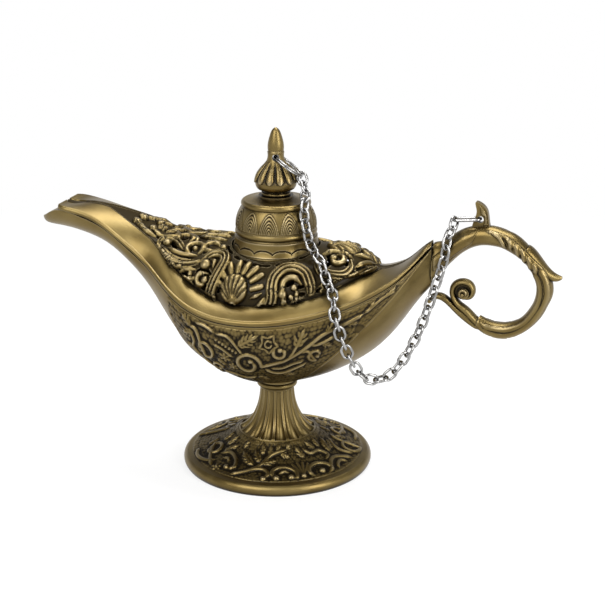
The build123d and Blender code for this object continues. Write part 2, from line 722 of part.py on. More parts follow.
# chain: a split ring in the finial, cable links, an oblong ring in the thumb leaf
UP = Vector(0, 0, 1)
HOLE_DIR = Vector(-sin(radians(RING_AZ)), cos(radians(RING_AZ)), 0)
RING_OUT = Vector(cos(radians(RING_AZ)), sin(radians(RING_AZ)), 0)
RING_DOWN = RING_OUT * cos(radians(RING_DIP)) - UP * sin(radians(RING_DIP))
RING_MID = Vector(0, 0, HOLE_Z) + RING_DOWN * (RING_R - RING_SET)
RING_PULL = RING_DOWN * cos(radians(RING_HOOK)) - HOLE_DIR * sin(radians(RING_HOOK))
RING_RUN = HOLE_DIR * cos(radians(RING_HOOK)) + RING_DOWN * sin(radians(RING_HOOK))
RING_AXIS = RING_DOWN.cross(HOLE_DIR)
RING_LOW = RING_MID + RING_PULL * RING_R + RING_AXIS * (0.46 * RING_PITCH)
PITCH = LINK_L - 2 * WIRE - LINK_PLAY
HALF_LOCK = 0.5 * (WIRE + LINK_PLAY)

OBLONG_DIR = Vector(-cos(radians(OBLONG_DIP)), 0, -sin(radians(OBLONG_DIP)))
OBLONG_HOLE = Vector(THUMB_HOLE[0], 0, THUMB_HOLE[1])
OBLONG_ARC = 0.5 * (OBLONG_W - WIRE)
OBLONG_END = OBLONG_HOLE + OBLONG_DIR * (OBLONG_L - WIRE - OBLONG_ARC)
OBLONG_OUT = OBLONG_DIR * cos(radians(HOOK_TURN)) - Vector(0, 1, 0) * sin(radians(HOOK_TURN))
OBLONG_RUN = Vector(0, 1, 0) * cos(radians(HOOK_TURN)) + OBLONG_DIR * sin(radians(HOOK_TURN))
FIRST_DIR = Vector(0.46, -0.52, -0.72).normalized()
LAST_DIR = Vector(0.10, 0.68, 0.73).normalized()


def beside(turn, r, z):
    # a point at a turn from the front towards the handle
    a = radians(turn)
    return Vector(r * sin(a), -r * cos(a), z)


def over(x, y, lift):
    # a point above the cover, measured from the edge of its field
    w = along(COVER, x, 3)
    e = along(COVER, x, 4)
    c = along(COVER, x, 5)
    t = min(1.0, abs(y) / w)
    rows = [(0.0, 1.0), (0.32, 0.96), (0.60, 0.83), (0.82, 0.60), (0.94, 0.36), (1.0, 0.0)]
    return Vector(x, y, e + (c - e) * along(rows, t, 1) + lift)


def on_band(x, t, lift):
    # a point above the smooth band, from the field's edge out to the lip
    w = along(COVER, x, 3)
    e = along(COVER, x, 4)
    y = w + t * (along(COVER, x, 1) - w)
    return Vector(x, -y, e + t * (along(COVER, x, 2) + BEAD_H + COVER_GAP - e) + lift)


def chain_path(drop):
    lip_x = CHAIN_X * KX
    lip = Vector(lip_x, -along(HULL, lip_x, 1) - CHAIN_OFF - 0.6, along(HULL, lip_x, 2) + 0.8)
    root = Vector(hand(66.6, 0)[0], -5.2 - CHAIN_OFF - 0.4, hand(0, 91.0)[1])
    first = RING_LOW - FIRST_DIR * (0.5 * (RING_WIRE + WIRE) + LINK_PLAY + 0.1)
    path = [first + FIRST_DIR * HALF_LOCK]
    path.append(path[0] + FIRST_DIR * 4.0)
    path.append(beside(62.0, SHOULDER_R + 0.4 + CHAIN_OFF, SEAM_Z + DRUM_H + 4.4))
    path.append(beside(56.0, DOME_R - 1.7 + CHAIN_OFF, SEAM_Z + DRUM_H - 0.6))
    path.append(beside(56.0, DOME_R + CHAIN_OFF + 0.2, SEAM_Z + 4.0))
    path.append(beside(56.0, COLLAR_R + CHAIN_OFF + 0.7, SEAT_Z + 6.4))
    xa = 0.632 * lip_x
    xb = 0.735 * lip_x
    path.append(over(xa, -0.66 * along(COVER, xa, 3), CHAIN_OFF + 1.6))
    path.append(over(xb, -0.84 * along(COVER, xb, 3), CHAIN_OFF + 2.3))
    path.append(on_band(0.835 * lip_x, 0.20, CHAIN_OFF + 2.4))
    path.append(on_band(0.925 * lip_x, 0.72, CHAIN_OFF + 1.6))
    path.append(lip)
    for f, s in SAG:
        path.append(lip + (root - lip) * f - UP * (drop * s))
    path.append(root)
    hook = OBLONG_END + OBLONG_OUT * OBLONG_ARC
    end = hook + LAST_DIR * HALF_LOCK
    path.append(Vector(hand(67.0, 0)[0], -4.0 - CHAIN_OFF, hand(0, 97.4)[1]))
    path.append(end - LAST_DIR * 2.6)
    path.append(end)
    return path


def smooth(path, steps=24):
    # rounded line through the points
    out = []
    n = len(path)
    for i in range(n - 1):
        p0 = path[max(0, i - 1)]
        p1 = path[i]
        p2 = path[i + 1]
        p3 = path[min(n - 1, i + 2)]
        d = (p2 - p1).length
        m1 = (p2 - p0) * (d / (p2 - p0).length)
        m2 = (p3 - p1) * (d / (p3 - p1).length)
        for k in range(steps):
            t = k / steps
            a = 2 * t ** 3 - 3 * t ** 2 + 1
            b = t ** 3 - 2 * t ** 2 + t
            c = 3 * t ** 2 - 2 * t ** 3
            e = t ** 3 - t ** 2
            out.append(p1 * a + m1 * b + p2 * c + m2 * e)
    out.append(path[-1])
    return out


def walk(line):
    # points of the line one pitch apart, and the length that is left over at the end
    nodes = [line[0]]
    i = 0
    while i < len(line) - 1:
        a = line[i]
        b = line[i + 1]
        if (b - nodes[-1]).length >= PITCH:
            lo = 0.0
            hi = 1.0
            for _ in range(30):
                mid = 0.5 * (lo + hi)
                if (a + (b - a) * mid - nodes[-1]).length < PITCH:
                    lo = mid
                else:
                    hi = mid
            nodes.append(a + (b - a) * hi)
        else:
            i += 1
    return nodes, (line[-1] - nodes[-1]).length


def hang():
    # the depth of the bight at which the whole number of links just reaches the handle ring
    lo = 2.0
    hi = 90.0
    for _ in range(34):
        mid = 0.5 * (lo + hi)
        nodes, rest = walk(smooth(chain_path(mid)))
        if len(nodes) - 1 + rest / PITCH < LINKS:
            lo = mid
        else:
            hi = mid
    line = smooth(chain_path(lo))
    nodes = walk(line)[0][:LINKS]
    nodes.append(line[-1])
    return nodes


def across(v, d):
    return (v - d * v.dot(d)).normalized()


def link_frames():
    # middle, direction and normal of every link, the normals turned a quarter from link to link
    nodes = hang()
    dirs = [(b - a).normalized() for a, b in zip(nodes[:-1], nodes[1:])]
    flat = [across(RING_RUN, dirs[0])]
    for d in dirs[1:]:
        flat.append(across(flat[-1], d))
    want = across(OBLONG_RUN, dirs[-1])
    have = flat[-1] if LINKS % 2 == 1 else flat[-1].cross(dirs[-1])
    twist = degrees(acos(max(-1.0, min(1.0, have.dot(want)))))
    if have.cross(want).dot(dirs[-1]) < 0:
        twist = -twist
    if twist > 90.0:
        twist -= 180.0
    if twist < -90.0:
        twist += 180.0
    frames = []
    for i, d in enumerate(dirs):
        n = flat[i] if i % 2 == 0 else flat[i].cross(d)
        n = n.rotate(Axis((0, 0, 0), d), twist * i / (LINKS - 1))
        frames.append((nodes[i] + (nodes[i + 1] - nodes[i]) * 0.5, d, n))
    return frames


def wire_loop(plane, length, width, wire):
    # round wire bent to an oblong loop, its length along the plane's x direction
    half = 0.5 * (length - width)
    r = 0.5 * (width - wire)
    with BuildLine(plane) as loop:
        a = Line((-half, -r), (half, -r))
        b = ThreePointArc(a @ 1, (half + r, 0), (half, r))
        c = Line(b @ 1, (-half, r))
        ThreePointArc(c @ 1, (-half - r, 0), a @ 0)
    at = plane.from_local_coords((0, -r, 0))
    with BuildSketch(Plane(origin=at, z_dir=plane.x_dir)) as cut:
        Circle(0.5 * wire)
    sweep(sections=cut.sketch, path=loop.line)


with BuildPart() as finial_ring:
    with BuildLine():
        coil = Helix(RING_PITCH, 2 * RING_PITCH, RING_R, center=RING_MID - RING_AXIS * RING_PITCH, direction=RING_AXIS)
    with BuildSketch(Plane(origin=coil @ 0, z_dir=coil % 0)):
        Circle(0.5 * RING_WIRE)
    sweep(path=coil, is_frenet=True)
finial_ring.part.label = "finial_ring"
export_step(finial_ring.part, "parts/finial_ring.step")

OBLONG_PLANE = Plane(
    origin=OBLONG_HOLE + OBLONG_DIR * (0.5 * (OBLONG_L - WIRE)),
    x_dir=OBLONG_DIR,
    z_dir=OBLONG_DIR.cross(Vector(0, 1, 0)),
)
with BuildPart() as handle_ring:
    wire_loop(OBLONG_PLANE, OBLONG_L, OBLONG_W, WIRE)
handle_ring.part.label = "handle_ring"
export_step(handle_ring.part, "parts/handle_ring.step")

for number, (middle, run, normal) in enumerate(link_frames(), start=1):
    name = f"chain_link_{number:02d}"
    with BuildPart() as link:
        wire_loop(Plane(origin=middle, x_dir=run, z_dir=normal), LINK_L, LINK_W, WIRE)
    link.part.label = name
    export_step(link.part, f"parts/{name}.step")
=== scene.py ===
from math import cos, pi, radians, sin

import bpy
import numpy as np
from mathutils import Matrix, Vector
from mathutils.bvhtree import BVHTree


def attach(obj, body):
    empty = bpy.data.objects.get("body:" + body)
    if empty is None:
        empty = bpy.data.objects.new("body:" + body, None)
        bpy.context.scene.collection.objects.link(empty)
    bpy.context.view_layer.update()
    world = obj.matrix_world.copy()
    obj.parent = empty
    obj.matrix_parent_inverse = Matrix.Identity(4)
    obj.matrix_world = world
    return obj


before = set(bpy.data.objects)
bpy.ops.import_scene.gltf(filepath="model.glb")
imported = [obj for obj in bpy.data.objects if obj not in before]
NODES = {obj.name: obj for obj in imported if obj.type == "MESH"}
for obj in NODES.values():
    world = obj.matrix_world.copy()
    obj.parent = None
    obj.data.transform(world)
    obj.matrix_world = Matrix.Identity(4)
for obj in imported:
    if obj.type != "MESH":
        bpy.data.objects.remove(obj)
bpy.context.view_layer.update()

# Frame: foot centre on the table at the origin, spout towards -X, handle towards +X. Sizes are millimetres.
MM = 0.001

# camera, from the photograph's view: place, right and up directions, focal length and sensor width
CAMERA_AT = (161.3, -496.4, 238.6)
CAMERA_RIGHT = (0.9568, 0.2909, 0.0)
CAMERA_UP = (-0.0920, 0.3026, 0.9487)
CAMERA_LENS = 85.05
CAMERA_SENSOR = 36.0

# cover: place along the lamp and half width of the pierced field
FIELD_EDGE = [
    (-86, 0.8),
    (-68, 1.4),
    (-58, 6.2),
    (-47, 10.8),
    (-38, 16.5),
    (-28, 21.4),
    (-16, 25.4),
    (-2, 27.4),
    (12, 25.4),
    (24, 20.6),
    (34, 11.5),
    (42, 1.6),
    (49, 1.2),
    (60, 0.8),
]
FIELD_MARGIN = 0.9
# cover's chart: reach along the lamp and round its long axis, step, and half the steps that bridge an opening
COVER_X = (-59.0, 42.6)
COVER_GIRTH = (3.0, 72.7)
COVER_STEP = 0.28
COVER_BRIDGE = 12
# height of that axis, scale of the chart round it, and distance from it at which rays start
COVER_AXIS_Z = 66.0
COVER_MM_PER_DEGREE = 0.42
COVER_RAY = 70.0
# radius round the lid's axis that stays free of openwork
COLLAR_CLEAR_R = 17.4
# how far the ornament is drawn lower on the side, and where on the chart that begins and is full
COVER_DROP = 1.0
DROP_FROM = 33.0
DROP_OVER = 12.0

# bowl: place along the lamp and height of the rim
RIM_LINE = [
    (-58, 87.6),
    (-47, 80.6),
    (-38, 75.0),
    (-28, 70.0),
    (-16, 66.8),
    (-2, 66.1),
    (12, 67.0),
    (24, 69.4),
    (34, 72.7),
    (42, 76.4),
    (49, 80.6),
    (54.5, 85.4),
    (61, 92.6),
]
# bowl: place along the lamp and depth of the relief panel below the rim
PANEL_FOOT = [
    (-34, 6), (-28, 22), (-20, 30), (12, 30), (20, 25),
    (30, 19), (40, 13.5), (50, 8.5), (57, 4.5), (60, 2),
]
# panel's top, lowest place of its border, how far the border goes beyond it, and the border's stroke
PANEL_TOP = 0.9
PANEL_END = 29.8
PANEL_BORDER = 0.6
BORDER_STROKE = (0.50, 0.25, 0.6, 0.25)
# bowl's chart: reach along the lamp and down from the rim, step, scale, and the grain of the panel's ground
BOWL_X = (-34.0, 60.2)
BOWL_DEPTH = (0.3, 30.6)
BOWL_STEP = 0.24
BOWL_MM_PER_DEGREE = 0.50
BOWL_GRAIN = 1.45
BOWL_GRAIN_RISE = 0.26
BOWL_GRAIN_SEED = 4
# where a link comes nearest to the bowl with the lid lifted, how far round there the relief stays low,
# and how high it may be there
LIFTED_LINK = (39.8, -22.7, 64.0)
LIFTED_LINK_REACH = 3.3
LIFTED_LINK_RISE = 0.10

# foot: radius at which its chart is true to size, and the ornament's inner and outer radius
FOOT_RADIUS = 25.0
FOOT_INNER = 15.2
FOOT_OUTER = 33.4
# foot's chart: how far it goes beyond the ornament, its steps, and the grain of the ground
FOOT_INNER_MARGIN = 0.6
FOOT_OUTER_MARGIN = 0.7
FOOT_STEP = 0.25
FOOT_STEPS_ROUND = 600
FOOT_GRAIN = 1.2
FOOT_GRAIN_RISE = 0.24
FOOT_GRAIN_SEED = 9

# lid: radius of the drum, step of its chart, how far chart and ground go over the petals, and the petals
DRUM_RADIUS = 15.3
DRUM_STEP = 0.18
DRUM_MARGIN = 0.7
DRUM_GROUND_MARGIN = 0.4
PETALS = 12
PETAL_FOOT = 95.4
PETAL_TALL = 7.6
PETAL_HALF = 3.6
PETAL_RISE = 0.24
PETAL_CURVE = 1.75
PETAL_GROOVES = (0.22, 0.38, 0.54, 0.70, 0.88)
PETAL_GROOVE_HALF = 0.06
PETAL_GROOVE_FLOOR = 0.30

# collar: radius, top, step of its chart, and the scalloped line round it
COLLAR_RADIUS = 15.8
COLLAR_TOP = 92.2
COLLAR_STEP = 0.15
SCALLOPS = 14
SCALLOP_Z = 87.6
SCALLOP_FOOT = 1.0
SCALLOP_TALL = 1.7
SCALLOP_LINE = 0.45
SCALLOP_RISE = 0.42

# finial: radius of the bulb, and the ribs down its upper half
BULB_RADIUS = 7.8
BULB_RIBS = 12
RIB_FOOT = 112.4
RIB_TOP = 120.4
RIB_RISE = 0.50
RIB_FADE = 0.35
RIB_HALF = 0.66
RIB_ROUND = 0.16
RIB_STEP = 0.15
# the ground between the ribs, painted dark as patina and painted shade, ends in a curve at their feet
FLUTE_WIDE = 1.5
FLUTE_ROUND = 0.10

# handle: the part of its length and height that is carved
HANDLE_X = (57.0, 107.6)
HANDLE_Z = (60.0, 110.2)
HANDLE_STEP = 0.26
# least facing of a surface that takes relief, and the steps that the relief stays away from a steeper one
HANDLE_FACING = 0.35
HANDLE_MARGIN = 2
# scroll of the handle: middle and radius of the web inside it, the web's half thickness, middle of the spiral
EYE_AT = (72.5, 76.3)
EYE_REACH = 3.3
EYE_WEB = 1.0
EYE_STEP = 0.12
EYE_EDGE = 0.1
SPIRAL_AT = (72.6, 75.7)
SPIRAL_R = 1.65

# relief: level at its hidden edges, level from which it is kept, and level of a ground that is painted dark,
# as patina and painted shade
SUNK = -0.16
PROUD_FROM = SUNK + 0.02
GROUND = 0.07
# room left under the chain, and how far the chain is looked for
CHAIN_GAP = 0.25
CHAIN_NEAR = 4.0
# where rays start, how deep one goes that meets nothing, and how deep an opening is that gets bridged
RAY_START = 60.0
RAY_MISSED = 90.0
BRIDGE_DEPTH = 0.5
# strokes: step along one, and length over which it thins out at its ends, in half widths
STROKE_STEP = 0.3
STROKE_TAPER = 2.5
# side wall of a stroke, and the shares of width and rise left at the ends of stems, bands, grooves and spokes
WALL = 0.25
STEM_ENDS = 0.35
BAND_ENDS = 0.45
GROOVE_ENDS = 0.4
SPOKE_ENDS = 0.8
# height above which grooves cut, and the height that they leave
CUT_ABOVE = 0.3
CUT_FLOOR = 0.2
# most distances held at a time
BATCH = 3000000
# grains of a ground: shift in their lattice, and radius, in steps of the lattice
GRAIN_SHIFT = (0.25, 0.75)
GRAIN_RADIUS = 0.66


# shader nodes

def put(tree, kind, props=None, **inputs):
    """Adds a node, sets its properties, and fills inputs by name, or by place as i0, i1."""
    made = tree.nodes.new("ShaderNode" + kind)
    for key, value in (props or {}).items():
        setattr(made, key, value)
    for key, value in inputs.items():
        place = int(key[1:]) if key[0] == "i" and key[1:].isdigit() else key.replace("_", " ")
        if isinstance(value, bpy.types.NodeSocket):
            tree.links.new(value, made.inputs[place])
        else:
            made.inputs[place].default_value = value
    return made


def maths(tree, operation, a, b=0.0, c=0.0):
    """The result of a Math node on up to three sockets or numbers."""
    return put(tree, "Math", {"operation": operation}, i0=a, i1=b, i2=c).outputs[0]


def mixed(tree, factor, a, b):
    """The first colour where the factor is nought, the second where it is one."""
    return put(tree, "Mix", {"data_type": "RGBA"}, i0=factor, i6=a, i7=b).outputs[2]


def ramp(tree, factor, *stops):
    """A grey value, from stops of place and value."""
    made = put(tree, "ValToRGB", Fac=factor)
    elements = made.color_ramp.elements
    while len(elements) < len(stops):
        elements.new(0.5)
    for element, (place, value) in zip(elements, stops):
        element.position = place
        element.color = (value, value, value, 1)
    return made.outputs["Color"]


def new_material(name):
    """A material and its node tree, which is empty."""
    made = bpy.data.materials.new(name)
    made.use_nodes = True
    made.node_tree.nodes.clear()
    return made, made.node_tree


def noise(tree, where, scale, detail=3.0):
    """Cloudy noise between nought and one."""
    return put(tree, "TexNoise", Vector=where, Scale=scale, Detail=detail).outputs["Fac"]


# bronze tones; the dark one is patina with painted shade, the pale one rubbed wear with a painted highlight
BRONZE = (0.200, 0.147, 0.054, 1)
BRONZE_WARM = (0.142, 0.098, 0.031, 1)
PATINA_AND_SHADE = (0.014, 0.010, 0.005, 1)
RUBBED_AND_HIGHLIGHT = (0.370, 0.300, 0.172, 1)
# painted shade for the nooks of the chain and screws
PAINTED_NOOK_SHADE = (0.03, 0.03, 0.033, 1)
# how much rougher the dark of patina and painted shade is than the metal, and how much of it lies on the
# cover's field
PATINA_MATT = 0.35
FIELD_PATINA_AND_SHADE = 0.85


def field_mask(tree, where):
    """One inside the cover's pierced field, nought on its smooth band."""
    low = FIELD_EDGE[0][0]
    high = FIELD_EDGE[-1][0]
    # the curve's values lie between nought and one, so half widths are given as shares of this
    wide = 30.0
    axes = put(tree, "SeparateXYZ", Vector=where)
    place = maths(tree, "MULTIPLY_ADD", axes.outputs["X"], 1 / ((high - low) * MM), -low / (high - low))
    curve = put(tree, "FloatCurve", Value=place)
    points = curve.mapping.curves[0].points
    for x, half in FIELD_EDGE[1:-1]:
        points.new((x - low) / (high - low), half / wide)
    points[0].location = (0, FIELD_EDGE[0][1] / wide)
    points[len(points) - 1].location = (1, FIELD_EDGE[-1][1] / wide)
    for point in points:
        point.handle_type = "VECTOR"
    curve.mapping.update()
    half = maths(tree, "MULTIPLY_ADD", curve.outputs[0], wide * MM, FIELD_MARGIN * MM)
    return maths(tree, "LESS_THAN", maths(tree, "ABSOLUTE", axes.outputs["Y"]), half)


def bronze(name, relief=False, field=False, roughness=0.39):
    """Antique bronze plating: rubbed bright with a painted highlight on crests, dark patina and painted shade
    in nooks.
    """
    made, tree = new_material(name)
    where = put(tree, "TexCoord").outputs["Object"]
    cloud = noise(tree, where, scale=70.0)
    grain = noise(tree, where, scale=1400.0, detail=2.0)
    # ambient occlusion of nooks and creases paints shade into the colour, together with the patina that lies
    # there
    nook_shade = put(tree, "AmbientOcclusion", {"samples": 6}, Distance=5 * MM).outputs["AO"]
    crease_shade = put(tree, "AmbientOcclusion", {"samples": 6}, Distance=1.2 * MM).outputs["AO"]
    reach = ramp(tree, nook_shade, (0.25, 0.0), (0.85, 1.0))
    reach = maths(tree, "MULTIPLY", reach, ramp(tree, crease_shade, (0.45, 0.15), (0.95, 1.0)))
    tone = mixed(tree, ramp(tree, cloud, (0.35, 0.0), (0.65, 1.0)), BRONZE_WARM, BRONZE)
    colour = mixed(tree, reach, PATINA_AND_SHADE, tone)
    rough = ramp(tree, cloud, (0.3, roughness - 0.05), (0.7, roughness + 0.07))
    if relief:
        height = put(tree, "Attribute", {"attribute_name": "relief"}).outputs["Fac"]
        # hollows of the relief are painted dark, as patina and painted shade
        hollow_patina_and_shade = ramp(tree, height, (0.26, 0.0), (0.50, 1.0))
        # crests that stand proud and open are painted pale, as rubbed wear and a painted highlight
        crest_wear_and_highlight = ramp(tree, maths(tree, "MULTIPLY", height, reach), (0.62, 0.0), (0.95, 0.75))
        colour = mixed(tree, crest_wear_and_highlight, mixed(tree, hollow_patina_and_shade, PATINA_AND_SHADE, colour), RUBBED_AND_HIGHLIGHT)
        rough = maths(tree, "MULTIPLY_ADD", maths(tree, "SUBTRACT", 1.0, hollow_patina_and_shade), PATINA_MATT, rough)
    if field:
        # the pierced field is painted dark, as patina and as the shade in its openings
        inside = field_mask(tree, where)
        colour = mixed(tree, maths(tree, "MULTIPLY", inside, FIELD_PATINA_AND_SHADE), colour, PATINA_AND_SHADE)
        rough = maths(tree, "MULTIPLY_ADD", inside, PATINA_MATT, rough)
    edge = put(tree, "Bevel", {"samples": 4}, Radius=0.5 * MM).outputs["Normal"]
    flat = put(tree, "NewGeometry").outputs["Normal"]
    bend = put(tree, "VectorMath", {"operation": "DOT_PRODUCT"}, i0=edge, i1=flat).outputs["Value"]
    wear = ramp(tree, bend, (0.90, 0.6), (0.995, 0.0))
    colour = mixed(tree, maths(tree, "MULTIPLY", wear, reach), colour, RUBBED_AND_HIGHLIGHT)
    bump = put(tree, "Bump", Strength=0.12, Distance=0.05 * MM, Height=grain).outputs["Normal"]
    shader = put(tree, "BsdfPrincipled", Base_Color=colour, Roughness=rough, Normal=bump, Metallic=1.0)
    shader.inputs["Coat Weight"].default_value = 0.10
    shader.inputs["Coat Roughness"].default_value = 0.22
    put(tree, "OutputMaterial", Surface=shader.outputs[0])
    return made


def bright_metal(name, light, dark, roughness):
    """Plated wire or turned steel with faint tarnish, drawing marks and painted shade in its nooks."""
    made, tree = new_material(name)
    where = put(tree, "TexCoord").outputs["Object"]
    cloud = noise(tree, where, scale=400.0)
    grain = noise(tree, where, scale=3000.0, detail=2.0)
    # ambient occlusion paints shade into the nooks between links and parts
    nook_shade = put(tree, "AmbientOcclusion", {"samples": 6}, Distance=2 * MM).outputs["AO"]
    tone = mixed(tree, ramp(tree, cloud, (0.35, 0.0), (0.65, 1.0)), dark, light)
    colour = mixed(tree, ramp(tree, nook_shade, (0.2, 0.0), (0.8, 1.0)), PAINTED_NOOK_SHADE, tone)
    rough = ramp(tree, cloud, (0.3, roughness), (0.7, roughness + 0.12))
    bump = put(tree, "Bump", Strength=0.10, Distance=0.03 * MM, Height=grain).outputs["Normal"]
    shader = put(tree, "BsdfPrincipled", Base_Color=colour, Roughness=rough, Normal=bump, Metallic=1.0)
    put(tree, "OutputMaterial", Surface=shader.outputs[0])
    return made


PLAIN_BRONZE = bronze("plain_bronze")
COVER_BRONZE = bronze("cover_bronze", field=True)
RELIEF_BRONZE = bronze("relief_bronze", relief=True)
NICKEL = bright_metal("nickel", light=(0.42, 0.415, 0.405, 1), dark=(0.29, 0.285, 0.28, 1), roughness=0.20)
STEEL = bright_metal("steel", light=(0.46, 0.46, 0.47, 1), dark=(0.34, 0.34, 0.35, 1), roughness=0.30)


def finish_of(name):
    """The material of a CAD node."""
    if name.startswith("chain_link") or name.endswith("_ring"):
        return NICKEL
    if name.endswith("_screw"):
        return STEEL
    return COVER_BRONZE if name == "cover" else PLAIN_BRONZE


for node_name, node_object in NODES.items():
    node_object.data.materials.clear()
    node_object.data.materials.append(finish_of(node_name))


# strokes of the ornament: each is a line on a flat chart in millimetres, its half width, its rise, the share
# of both that is left at its ends, and the height of its side wall

def rounded(points, steps=10):
    """A smooth line through the points."""
    p = np.array(points, float)
    if len(p) == 2:
        return p[0] + np.linspace(0, 1, steps)[:, None] * (p[1] - p[0])
    ends = np.vstack([2 * p[0] - p[1], p, 2 * p[-1] - p[-2]])
    t = np.linspace(0, 1, steps, endpoint=False)[:, None]
    out = []
    for a, b, c, d in zip(ends, ends[1:], ends[2:], ends[3:]):
        bend = (2 * a - 5 * b + 4 * c - d) * t ** 2 + (3 * b - a - 3 * c + d) * t ** 3
        out.append(0.5 * (2 * b + (c - a) * t + bend))
    return np.vstack(out + [p[-1:]])


def turned(centre, r0, r1, start, end, steps=30):
    """A spiral about a centre, from one radius to another, with angles in degrees."""
    a = np.radians(np.linspace(start, end, steps))
    r = np.linspace(r0, r1, steps)
    return np.column_stack([centre[0] + r * np.cos(a), centre[1] + r * np.sin(a)])


def beside(line, gap):
    """The line moved sideways on the chart."""
    way = np.gradient(line, axis=0)
    way /= np.maximum(np.linalg.norm(way, axis=1, keepdims=True), 1e-9)
    return line + gap * np.column_stack([-way[:, 1], way[:, 0]])


def stem(half, rise, *points, wall=WALL, ends=STEM_ENDS):
    """A rounded strand through the points."""
    return [(rounded(points), half, rise, ends, wall)]


def groove(half, depth, line):
    """A cut along a line."""
    return [(line, half, -depth, GROOVE_ENDS, 0.0)]


def band(half, rise, cuts, *points, wall=0.5):
    """A broad strand with grooves along it."""
    line = rounded(points)
    out = [(line, half, rise, BAND_ENDS, wall)]
    for i in range(cuts):
        out += groove(0.36, 0.75 * rise, beside(line, half * (2 * (i + 1) / (cuts + 1) - 1)))
    return out


def bead(at, half, rise, wall=0.3):
    """A round boss."""
    at = np.array(at, float)
    return [(np.array([at, at + 0.01]), half, rise, 1.0, wall)]


def arch(half, rise, centre, r, start, end, wall=WALL):
    """A strand along a circle, with angles in degrees."""
    return [(turned(centre, r, r, start, end), half, rise, STEM_ENDS, wall)]


def curl(half, rise, centre, r, start, turn, tail=(), wall=WALL):
    """A stem that winds in to an eye, with an optional tail that leads into it."""
    spiral = turned(centre, r, 0.42 * r, start, start + turn)
    line = spiral
    if len(tail):
        line = np.vstack([rounded(list(tail) + [tuple(spiral[0])])[:-1], spiral])
    return [(line, half, rise, BAND_ENDS, wall)] + bead(spiral[-1], 1.35 * half, 1.15 * rise, wall)


def fan(centre, r0, r1, start, end, count, half, rise, wall=WALL):
    """Spokes about a centre."""
    out = []
    for a in np.radians(np.linspace(start, end, count)):
        way = np.array([cos(a), sin(a)])
        line = np.array(centre) + np.linspace(r0, r1, 8)[:, None] * way
        out.append((line, half, rise, SPOKE_ENDS, wall))
    return out


def flower(at, r, petals, rise, turn=90.0, wall=WALL):
    """Round petals about a bead, in shares of the flower's radius."""
    step = 360.0 / petals
    rosette = fan(at, 0.45 * r, 0.75 * r, turn, turn + 360.0 - step, petals, 0.36 * r, rise, wall)
    return rosette + bead(at, 0.30 * r, 1.3 * rise, wall)


def star(at, r, half, rise):
    """The outline of a five-pointed flower about a ring."""
    turns = np.radians(90 + 36 * np.arange(11))
    reach = np.where(np.arange(11) % 2, 0.62 * r, r)
    line = np.array(at) + reach[:, None] * np.column_stack([np.cos(turns), np.sin(turns)])
    out = [(rounded(pair, 6), half, rise, SPOKE_ENDS, 0.15) for pair in zip(line, line[1:])]
    return out + arch(0.8 * half, rise, at, 0.34 * r, 0, 360)


def leaf(base, tip, half, rise, pairs=3):
    """A midrib with pairs of lobes that lean to the tip, in shares of the leaf's length and half width."""
    base = np.array(base, float)
    way = np.array(tip, float) - base
    side = np.array([-way[1], way[0]]) / np.linalg.norm(way)
    out = stem(0.30 * half + 0.12, rise, base, base + way)
    for i in range(pairs):
        root = base + way * (0.10 + 0.62 * i / pairs)
        reach = half * (1.0 - 0.55 * abs(2.0 * (i + 0.5) / pairs - 0.9))
        for hand in (-1, 1):
            lobe = root + way * (0.42 / pairs + 0.12) + side * hand * reach
            middle = 0.5 * (root + lobe) + side * hand * 0.15 * reach
            out.append((rounded([root, middle, lobe]), 0.30 * half, 0.85 * rise, 0.6, 0.35))
    return out


def shell(at, tip, half, ribs, rise):
    """A ribbed dome that opens from a bead at its foot, in shares of its length and half width."""
    at = np.array(at, float)
    way = np.array(tip, float) - at
    turn = np.degrees(np.arctan2(way[1], way[0]))
    middle = at + 0.52 * way
    out = [(np.array([middle, middle + 0.10 * way]), half, rise, 1.0, 0.6)]
    for a in np.radians(np.linspace(turn - 62, turn + 62, ribs + 1)[1:-1]):
        spoke = np.array([cos(a), sin(a)])
        line = at + np.linspace(0.25, 1.15, 12)[:, None] * np.linalg.norm(way) * spoke
        out += groove(0.42, 0.34 * rise, line)
    return out + bead(at, 0.27 * half, 0.75 * rise, 0.6)


# skins: relief laid over a CAD surface

def filtered(grid, reach, take):
    """The least, greatest or mean value within a reach of steps about each place."""
    for axis in (0, 1):
        pads = [(reach, reach) if a == axis else (0, 0) for a in (0, 1)]
        padded = np.pad(grid, pads, mode="edge")
        windows = np.lib.stride_tricks.sliding_window_view(padded, 2 * reach + 1, axis)
        grid = take(windows, axis=-1)
    return grid


def laid(node, u, v, ray, missed=RAY_MISSED, bridge=0):
    """Points, outward normals and facing where rays meet a node, on a chart of u by v.

    A ray that meets nothing ends at the depth missed. Openings up to twice bridge steps wide are closed over.
    """
    tree = BVHTree.FromObject(NODES[node], bpy.context.evaluated_depsgraph_get())
    start = np.zeros((len(u), len(v), 3))
    way = np.zeros((len(u), len(v), 3))
    deep = np.full((len(u), len(v)), missed)
    met = np.zeros((len(u), len(v)), bool)
    for i, a in enumerate(u):
        for j, b in enumerate(v):
            origin, aim = ray(a, b)
            way[i, j] = np.array(aim) / np.linalg.norm(aim)
            start[i, j] = origin
            hit = tree.ray_cast(Vector(origin) * MM, Vector(way[i, j]))
            if hit[0] is not None:
                deep[i, j] = hit[3] / MM
                met[i, j] = True
    if bridge:
        level = filtered(filtered(deep, bridge, np.min), bridge, np.max)
        deep = np.where(deep - level > BRIDGE_DEPTH, level, deep)
    points = start + way * deep[:, :, None]
    across = np.cross(np.gradient(points, axis=0), np.gradient(points, axis=1))
    across /= np.maximum(np.linalg.norm(across, axis=2, keepdims=True), 1e-9)
    facing = -np.sum(across * way, axis=2, keepdims=True)
    across *= np.sign(facing)
    return points, across, np.where(met, np.abs(facing[:, :, 0]), 0.0)


